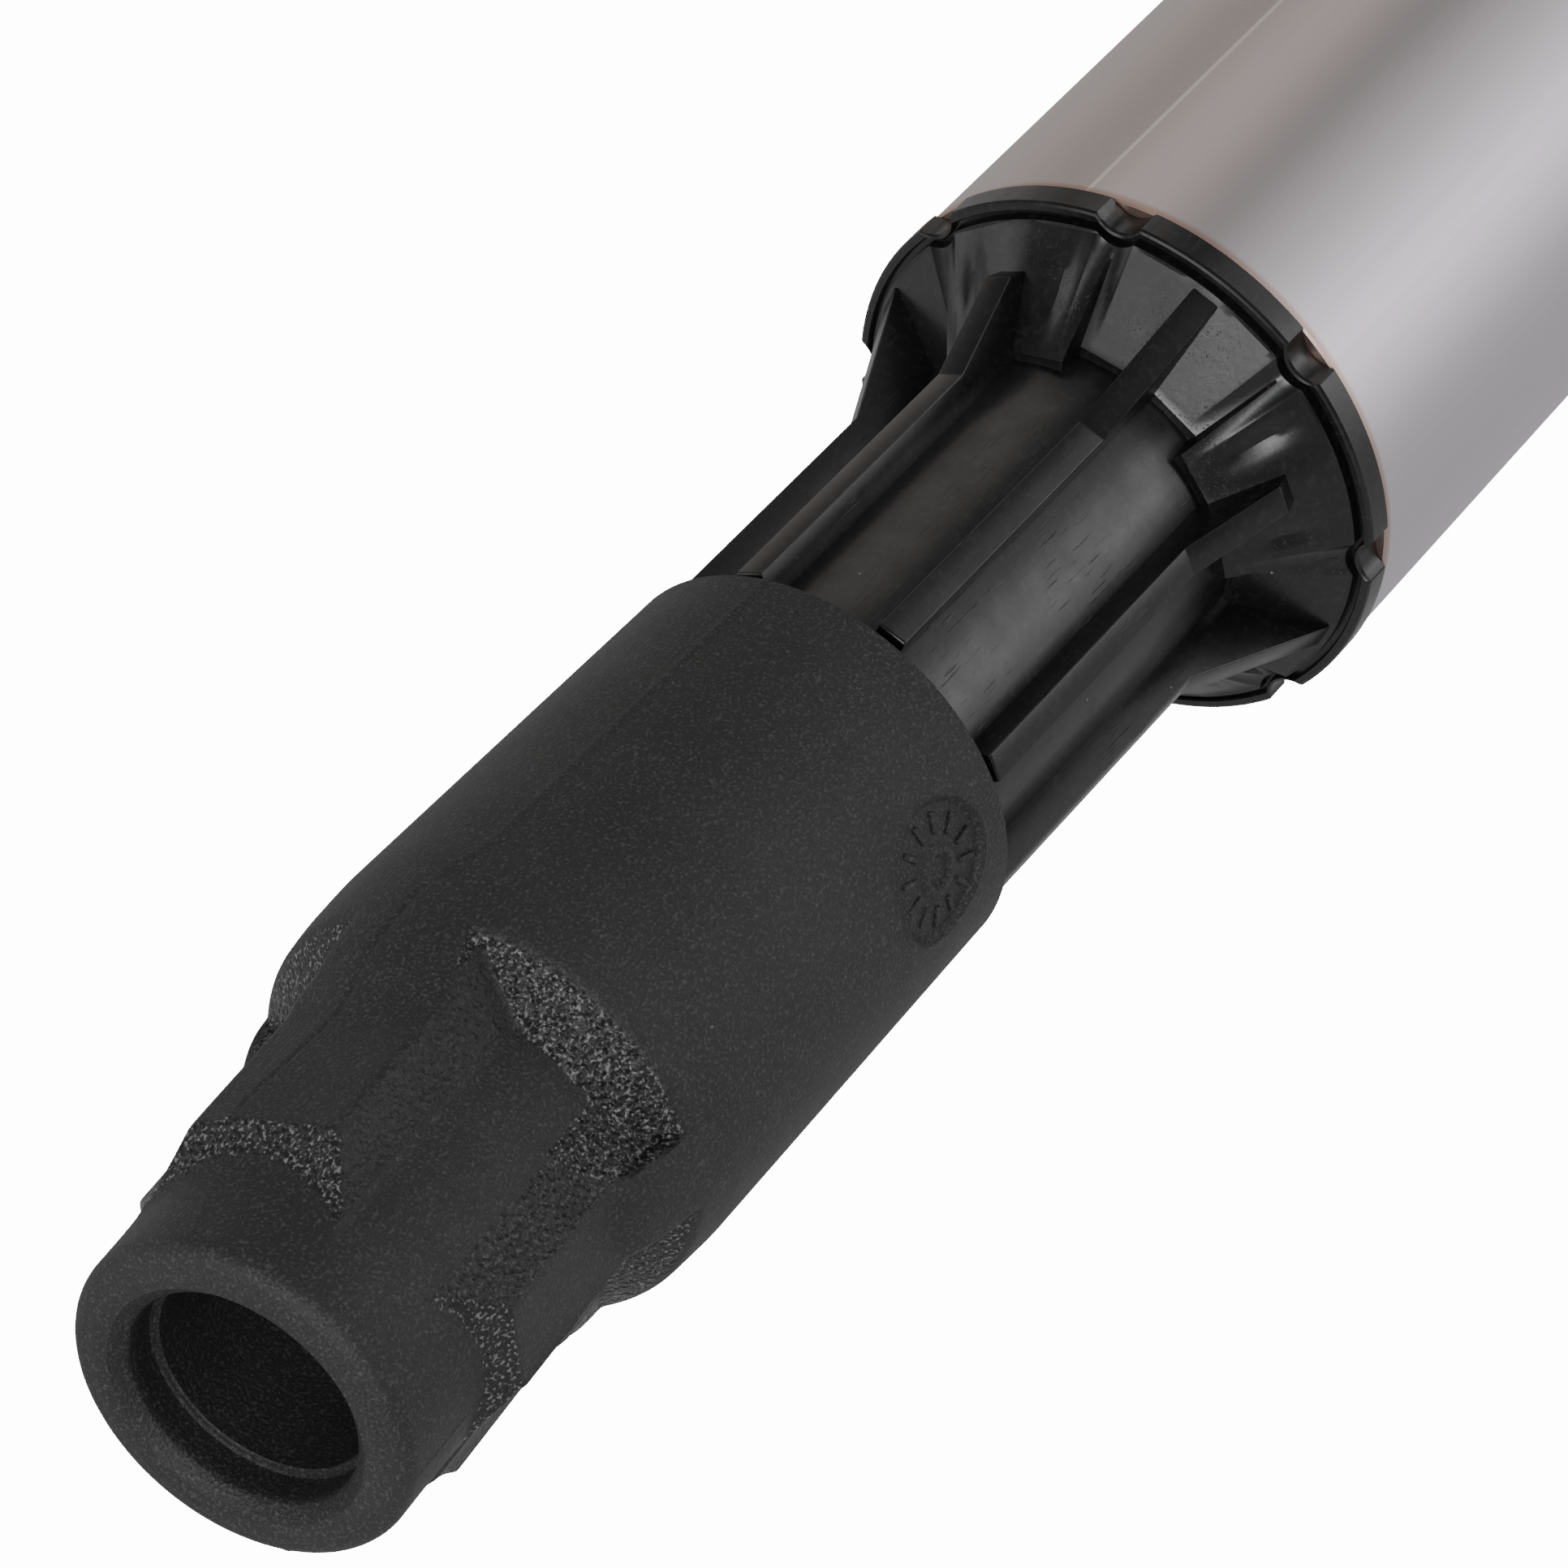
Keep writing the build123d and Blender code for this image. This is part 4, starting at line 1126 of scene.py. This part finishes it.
# ---------------------------------------------------------------- tip plug
@dataclass
class TipPlug:
    """Moulded plug in the inner tube: rim, faceted cup, post and ribs. Millimetres."""

    post_r: float = 10.5
    post_front: float = -65.9
    rim_r: float = 17.7
    rim_thick: float = 2.0
    notch_r: float = 1.7
    notch_depth: float = 0.9
    notch_count: int = 8
    ledge_r: float = 11.35
    ledge_z: tuple[float, float] = (-5.9, -7.7)
    cup_end_r: float = 16.75
    cup_end_z: float = -2.25
    insert_r: float = 15.95
    insert_length: float = 45.0
    rib_front: float = -33.4
    rib_crest: float = 12.4
    rib_half: float = 0.9
    bend_z: float = -12.4

    insert_wall: float = 2.9
    core_r: float = 3.0
    facet_turn: float = 22.5

    def columns(self) -> np.ndarray:
        """Turns of the columns, close together at notches and at steps between facets."""
        one = np.concatenate([
            np.arange(-22.5, -8.0, 1.45), np.arange(-7.6, -0.5, 0.45), [-0.35, -0.2, 0.2, 0.35],
            np.arange(0.6, 7.7, 0.45), np.arange(8.2, 22.4, 1.45)])
        return np.concatenate([one + 45.0 * k for k in range(self.notch_count)])

    def dents(self, turns: np.ndarray, t: float) -> np.ndarray:
        """Soft dents in some facets of the cup.

        Args:
            turns: turn of each column, in degrees.
            t: share of the way from the ledge to the rim.

        Returns:
            Share of a dent's full depth at each column, 0 to 1.
        """
        away = turn_gap(turns, 0.0)
        middle = np.round(away / 45.0) * 45.0
        toward = np.where(np.mod(np.round(middle / 45.0), 2) < 0.5, middle - away, away - middle)
        return np.exp(-((toward - 9.5) / 2.6) ** 2 - ((t - 0.55) / 0.26) ** 2)

    def shell(self) -> bpy.types.Object:
        """Builds rim, cup and post as one closed skin."""
        turns = self.columns()
        half = self.facet_turn / 2
        flat = math.cos(math.radians(half)) / np.cos(np.radians(np.mod(turns, self.facet_turn) - half))
        gap = np.abs(turn_gap(turns * 8, 0.0)) / 8
        centre = self.rim_r + self.notch_r - self.notch_depth
        inside = self.notch_r ** 2 - (centre * np.sin(np.radians(gap))) ** 2
        notch = centre * np.cos(np.radians(gap)) - np.sqrt(np.clip(inside, 0.0, None))
        rim = np.where(inside > 0, np.minimum(self.rim_r, notch), self.rim_r)
        kind = np.round((turns - self.facet_turn) / 45.0) % 2
        ledge = np.where(kind < 0.5, self.ledge_z[0], self.ledge_z[1])
        blend = np.clip(gap / 0.35, 0, 1)
        ledge = ledge * blend + (1 - blend) * sum(self.ledge_z) / 2
        groove_out = np.minimum(self.rim_r - 0.62, rim - 0.32)
        groove_in = groove_out - 0.42
        cup_start = self.ledge_r * flat
        cup_end = np.minimum(self.cup_end_r * flat, groove_in - 0.06)
        lip, cup_z, front = -self.rim_thick, self.cup_end_z, self.post_front
        bore_r = self.insert_r - self.insert_wall
        rings = [(self.core_r, front), (self.post_r - 0.6, front), (self.post_r, front + 0.6)]
        rings += [(self.post_r, z) for z in (-50.0, -36.0, -33.0, -28.0, -22.0, -17.0, -13.0, -10.0)]
        rings += [(self.post_r, ledge - 0.5), (self.post_r, ledge - 0.02),
                  (self.post_r + 0.12, ledge), (cup_start - 0.12, ledge), (cup_start, ledge + 0.1)]
        for t in np.linspace(0.05, 1.0, 18):
            spot = self.dents(turns, t)
            rings.append((cup_start + (cup_end - cup_start) * t - 0.24 * spot,
                          ledge + 0.1 + (cup_z - ledge - 0.1) * t + 0.15 * spot))
        rings += [(groove_in, cup_z + 0.05), (groove_in + 0.04, cup_z + 0.75),
                  (groove_out - 0.04, cup_z + 0.75), (groove_out, lip + 0.12),
                  (groove_out + 0.08, lip + 0.02), (rim - 0.22, lip + 0.02),
                  (rim - 0.07, lip + 0.09), (rim, lip + 0.26), (rim, -0.9), (rim, -0.12),
                  (rim - 0.1, -0.02), (self.insert_r, -0.02), (self.insert_r, 12.0),
                  (self.insert_r, self.insert_length - 0.6),
                  (self.insert_r - 0.6, self.insert_length), (bore_r, self.insert_length),
                  (bore_r, self.insert_wall), (self.core_r, self.insert_wall)]
        rad = np.radians(turns)
        rows = np.array([np.stack(np.broadcast_arrays(r * np.cos(rad), r * np.sin(rad), z), axis=-1)
                         for r, z in rings])
        verts, faces = skin(rows, np.array([0.0, 0.0, front]), np.array([0.0, 0.0, self.insert_wall]))
        return make_object("tip_plug_shell", AXIS.place(verts), faces, PLUG_PLASTIC, sharp=14.0)

    def ribs(self) -> None:
        """Sets four tall and four short ribs round the post, in turn."""
        foot, end = self.post_r - 0.8, self.rib_front
        tall = [(foot, end), (self.rib_crest - 0.12, end), (self.rib_crest, end + 0.12),
                (self.rib_crest, self.bend_z), (self.cup_end_r - 0.35, -2.45), (foot, -2.45)]
        short = [(foot, end), (self.rib_crest - 0.12, end), (self.rib_crest, end + 0.12),
                 (self.rib_crest, self.bend_z), (14.9, -5.7), (14.2, -3.6), (foot, -3.4)]
        for name, outline, first in (("plug_ribs_tall", tall, self.facet_turn),
                                     ("plug_ribs_short", short, 3 * self.facet_turn)):
            rib = plate_mesh(name + "_one", outline, self.rib_half, 0.13, 3)
            ribs = COPIES.run(name, rib, {
                "Around": 4, "Along": 1, "First turn": math.radians(first),
                "Step": math.radians(90.0), "Stagger": 0.0, "Pitch": 0.0}, PLUG_PLASTIC, sharp=30.0)
            wear(ribs, Body.SLIDER, PLUG_PLASTIC)

    def build(self) -> None:
        """Builds the plug's shell and ribs."""
        wear(self.shell(), Body.SLIDER, PLUG_PLASTIC, "tip_plug")
        self.ribs()


# ---------------------------------------------------------------- tubes
@dataclass
class InnerTube:
    """Inner tube of the pole, with its cut edges broken. Millimetres."""

    radius: float = 17.5
    wall: float = 1.5
    edge: float = 0.12

    def build(self) -> None:
        """Turns the tube between its CAD ends."""
        front, rear = AXIS.local_z("inner_tube")
        bore = self.radius - self.wall
        steps = [(self.radius, front + (rear - front) * k / 8) for k in range(1, 8)]
        outline = ([(self.radius - self.edge, front), (self.radius, front + self.edge)] + steps
                   + [(self.radius, rear - self.edge), (self.radius - self.edge, rear), (bore, rear),
                      (bore, front)])
        tube = turned("inner_tube_skin", outline, INNER_ALUMINIUM, 256)
        wear(tube, Body.SLIDER, INNER_ALUMINIUM, "inner_tube")


# ---------------------------------------------------------------- hand grip
@dataclass
class HandGrip:
    """Rubber sleeve with ring grooves and rows of raised pads. Millimetres."""

    radius: float = 24.5
    bore: float = 20.55
    pad_rise: float = 0.5
    grooves: int = 11
    groove_width: float = 2.6
    groove_depth: float = 1.0
    end_land: float = 12.0
    pads_around: int = 26

    def pitch(self, front: float, rear: float) -> float:
        """Step from one groove to the next."""
        return (rear - front - 2 * self.end_land) / (self.grooves - 1)

    def outline(self, front: float, rear: float) -> list[tuple[float, float]]:
        """Outline of the sleeve, with a round groove at every step.

        Args:
            front: first z of the sleeve.
            rear: last z.

        Returns:
            Closed outline, (radius, z).
        """
        top = self.radius - self.pad_rise
        made = [(self.bore, front), (top - 1.6, front), (top - 0.5, front + 0.5), (top, front + 1.6)]
        pitch = self.pitch(front, rear)
        for k in range(self.grooves):
            z = front + self.end_land + k * pitch
            for t in np.linspace(-1, 1, 13):
                dip = self.groove_depth * (1 - abs(t) ** 3) if abs(t) < 1 else 0.0
                made.append((top - dip, z + t * self.groove_width / 2))
        made += [(top, rear - 1.6), (top - 0.5, rear - 0.5), (top - 1.6, rear), (self.bore, rear)]
        return made

    def build(self) -> None:
        """Builds the sleeve and its pads."""
        front, rear = AXIS.local_z("hand_grip")
        sleeve = turned("hand_grip_sleeve", self.outline(front, rear), GRIP_RUBBER, 144)
        wear(sleeve, Body.HANDLE, GRIP_RUBBER, "hand_grip")
        pitch = self.pitch(front, rear)
        start = front + self.end_land + self.groove_width / 2 + 1.0
        length = pitch - self.groove_width - 2.0
        low, top = self.radius - self.pad_rise - 0.5, self.radius
        pad = plate_mesh("grip_pad", [(low, start), (top, start + 0.6), (top, start + length - 0.6),
                                      (low, start + length)], 1.7, 0.35, 1)
        pads = COPIES.run("grip_pads", pad, {
            "Around": self.pads_around, "Along": self.grooves - 1, "First turn": 0.0,
            "Step": 2 * math.pi / self.pads_around, "Stagger": math.pi / self.pads_around,
            "Pitch": pitch}, GRIP_RUBBER)
        wear(pads, Body.HANDLE, GRIP_RUBBER)


@dataclass
class Trim:
    """Hard ring in front of the grip. Millimetres."""

    radius: float = 23.55
    bore: float = 20.55

    def build(self) -> None:
        """Turns the ring."""
        front, rear = AXIS.local_z("grip_trim")
        outline = rounded([(self.bore, front), (self.radius - 1.3, front), (self.radius, front + 1.3),
                           (self.radius, rear), (self.bore, rear)], 0.35)
        ring = turned("grip_trim_ring", outline, CLAMP_PLASTIC, 144)
        wear(ring, Body.HANDLE, CLAMP_PLASTIC, "grip_trim")


# ---------------------------------------------------------------- CAD pieces that stay
class CarriedOver:
    """CAD nodes whose shapes stay, each with its finish."""

    finishes: dict[str, Finish] = {
        "cone_screw": BLACK_STEEL, "cone_washer": BLACK_STEEL, "stop_ring": NYLON,
        "rear_guide_ring": NYLON, "guide_ring_pins": STEEL, "rear_plug": NYLON,
        "outer_tube": OUTER_ALUMINIUM, "guide_bush": NYLON, "wiper_ring": RUBBER,
        "collar_cap": CLAMP_PLASTIC, "clamp_collar": CLAMP_PLASTIC, "collar_screws": STEEL,
        "lever_pin": STEEL, "pin_clips": STEEL, "shoe_springs": STEEL,
        "clamp_lever": LEVER_PLASTIC, "lever_pad": PAD_RUBBER, "brake_shoe": NYLON,
        "brake_pad": RUBBER, "wear_plate": STEEL, "end_cap": CLAMP_PLASTIC, "end_rivets": STEEL}

    def build(self) -> None:
        """Dresses every node."""
        for node, finish in self.finishes.items():
            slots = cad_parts[node].data.materials
            slots.clear()
            slots.append(finish.material())
            log.info("%s: %s", node, finish.name)


# ---------------------------------------------------------------- studio
@dataclass(frozen=True)
class SoftBox:
    """Square soft light.

    Args:
        name: the light's name.
        direction: way from the pole's tip to the light.
        size: side of the square in metres.
        watts: its power.
        colour: its colour.
    """

    name: str
    direction: tuple[float, float, float]
    size: float
    watts: float
    colour: tuple[float, float, float] = (1.0, 1.0, 1.0)


class Studio:
    """Pale floor, soft lights and a long lens on the pole's tip."""

    lit = Vector((-0.35, 0.0, 0.03))
    reach: float = 0.95
    boxes: tuple[SoftBox, ...] = (
        SoftBox("overhead", (0.49, -0.29, 0.82), 0.6, 0.27),
        SoftBox("over_shoulder", (-0.79, -0.35, 0.51), 0.4, 5.4),
        SoftBox("right", (0.62, -0.67, 0.41), 0.4, 1.15),
        SoftBox("high_right", (0.62, -0.41, 0.67), 0.5, 0.6, (0.97, 0.96, 1.0)),
        SoftBox("high_left", (0.62, 0.41, 0.67), 0.5, 0.62, (1.0, 0.95, 0.91)),
        SoftBox("low_left", (0.62, 0.79, 0.08), 0.5, 0.33, (1.0, 0.93, 0.88)),
        SoftBox("low_right", (0.62, -0.79, 0.12), 0.45, 0.9),
        SoftBox("front", (-0.9, 0.25, 0.25), 0.5, 2.0),
        SoftBox("rim", (-0.2, 0.9, 0.35), 0.5, 1.1))
    aim = Vector((-0.359639, 0.0, 0.02455))
    azimuth: float = 303.797
    elevation: float = 42.04
    roll: float = -0.7877
    distance: float = 0.37859
    lens: float = 155.32
    sensor: float = 36.0
    nudge_right: float = -0.00027
    nudge_up: float = 0.00045
    sky: float = 0.12
    floor_half: float = 12.0
    floor_bounce: float = 0.50
    floor_glow: float = 14.0

    def camera(self) -> None:
        """Places the camera round its aim point."""
        az, el, roll = (math.radians(v) for v in (self.azimuth, self.elevation, self.roll))
        back = Vector((math.sin(az) * math.cos(el), -math.cos(az) * math.cos(el), math.sin(el)))
        right = Vector((0, 0, 1)).cross(back).normalized()
        up = back.cross(right)
        level = right * math.cos(roll) + up * math.sin(roll)
        plumb = up * math.cos(roll) - right * math.sin(roll)
        data = bpy.data.cameras.new("camera")
        data.lens = self.lens
        data.sensor_width = self.sensor
        data.clip_start = 0.01
        data.clip_end = 50.0
        camera = bpy.data.objects.new("camera", data)
        bpy.context.scene.collection.objects.link(camera)
        spot = self.aim + level * self.nudge_right + plumb * self.nudge_up + back * self.distance
        pose = Matrix((level, plumb, back)).transposed().to_4x4()
        camera.matrix_world = Matrix.Translation(spot) @ pose
        bpy.context.scene.camera = camera

    def light(self, box: SoftBox) -> None:
        """Hangs a soft box round the pole's tip, facing it."""
        data = bpy.data.lights.new(box.name, "AREA")
        data.size = box.size
        data.energy = box.watts
        data.color = box.colour
        away = Vector(box.direction).normalized()
        lamp = bpy.data.objects.new(box.name, data)
        lamp.location = self.lit + away * self.reach
        lamp.rotation_mode = "QUATERNION"
        lamp.rotation_quaternion = (-away).to_track_quat("-Z", "Y")
        bpy.context.scene.collection.objects.link(lamp)

    def lights(self) -> None:
        """Adds the soft boxes and the pale surroundings."""
        for box in self.boxes:
            self.light(box)
        world = bpy.data.worlds.new("surroundings")
        bpy.context.scene.world = world
        world.use_nodes = True
        sky = world.node_tree.nodes["Background"]
        sky.inputs["Color"].default_value = (1.0, 0.985, 0.97, 1.0)
        sky.inputs["Strength"].default_value = self.sky

    def floor(self) -> None:
        """Lays the pale floor: it lights the pole dimly, and the camera sees it as clean white."""
        mesh = bpy.data.meshes.new("floor")
        half = self.floor_half
        mesh.from_pydata([(-half, -half, 0), (half, -half, 0), (half, half, 0), (-half, half, 0)],
                         [], [(0, 1, 2, 3)])
        material = bpy.data.materials.new("floor")
        material.use_nodes = True
        material.node_tree.nodes.clear()
        wires = Wires(material.node_tree)
        bounce, glow = (wires.join("ShaderNodeEmission", {"Strength": strength})
                        for strength in (self.floor_bounce, self.floor_glow))
        seen = wires.add("ShaderNodeLightPath").outputs["Is Camera Ray"]
        mix = wires.join("ShaderNodeMixShader", {0: seen, 1: bounce, 2: glow})
        wires.feed(wires.add("ShaderNodeOutputMaterial").inputs[0], mix)
        mesh.materials.append(material)
        floor = bpy.data.objects.new("floor", mesh)
        bpy.context.scene.collection.objects.link(floor)

    def build(self) -> None:
        """Builds camera, lights and floor."""
        self.camera()
        self.lights()
        self.floor()


def main() -> None:
    """Builds every sub-assembly in order."""
    logging.basicConfig(level=logging.INFO, format="%(name)s: %(message)s")
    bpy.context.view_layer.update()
    for part in (Studio(), ToolCone(), TipPlug(), InnerTube(), HandGrip(), Trim(), CarriedOver()):
        part.build()


if __name__ == "__main__":
    main()
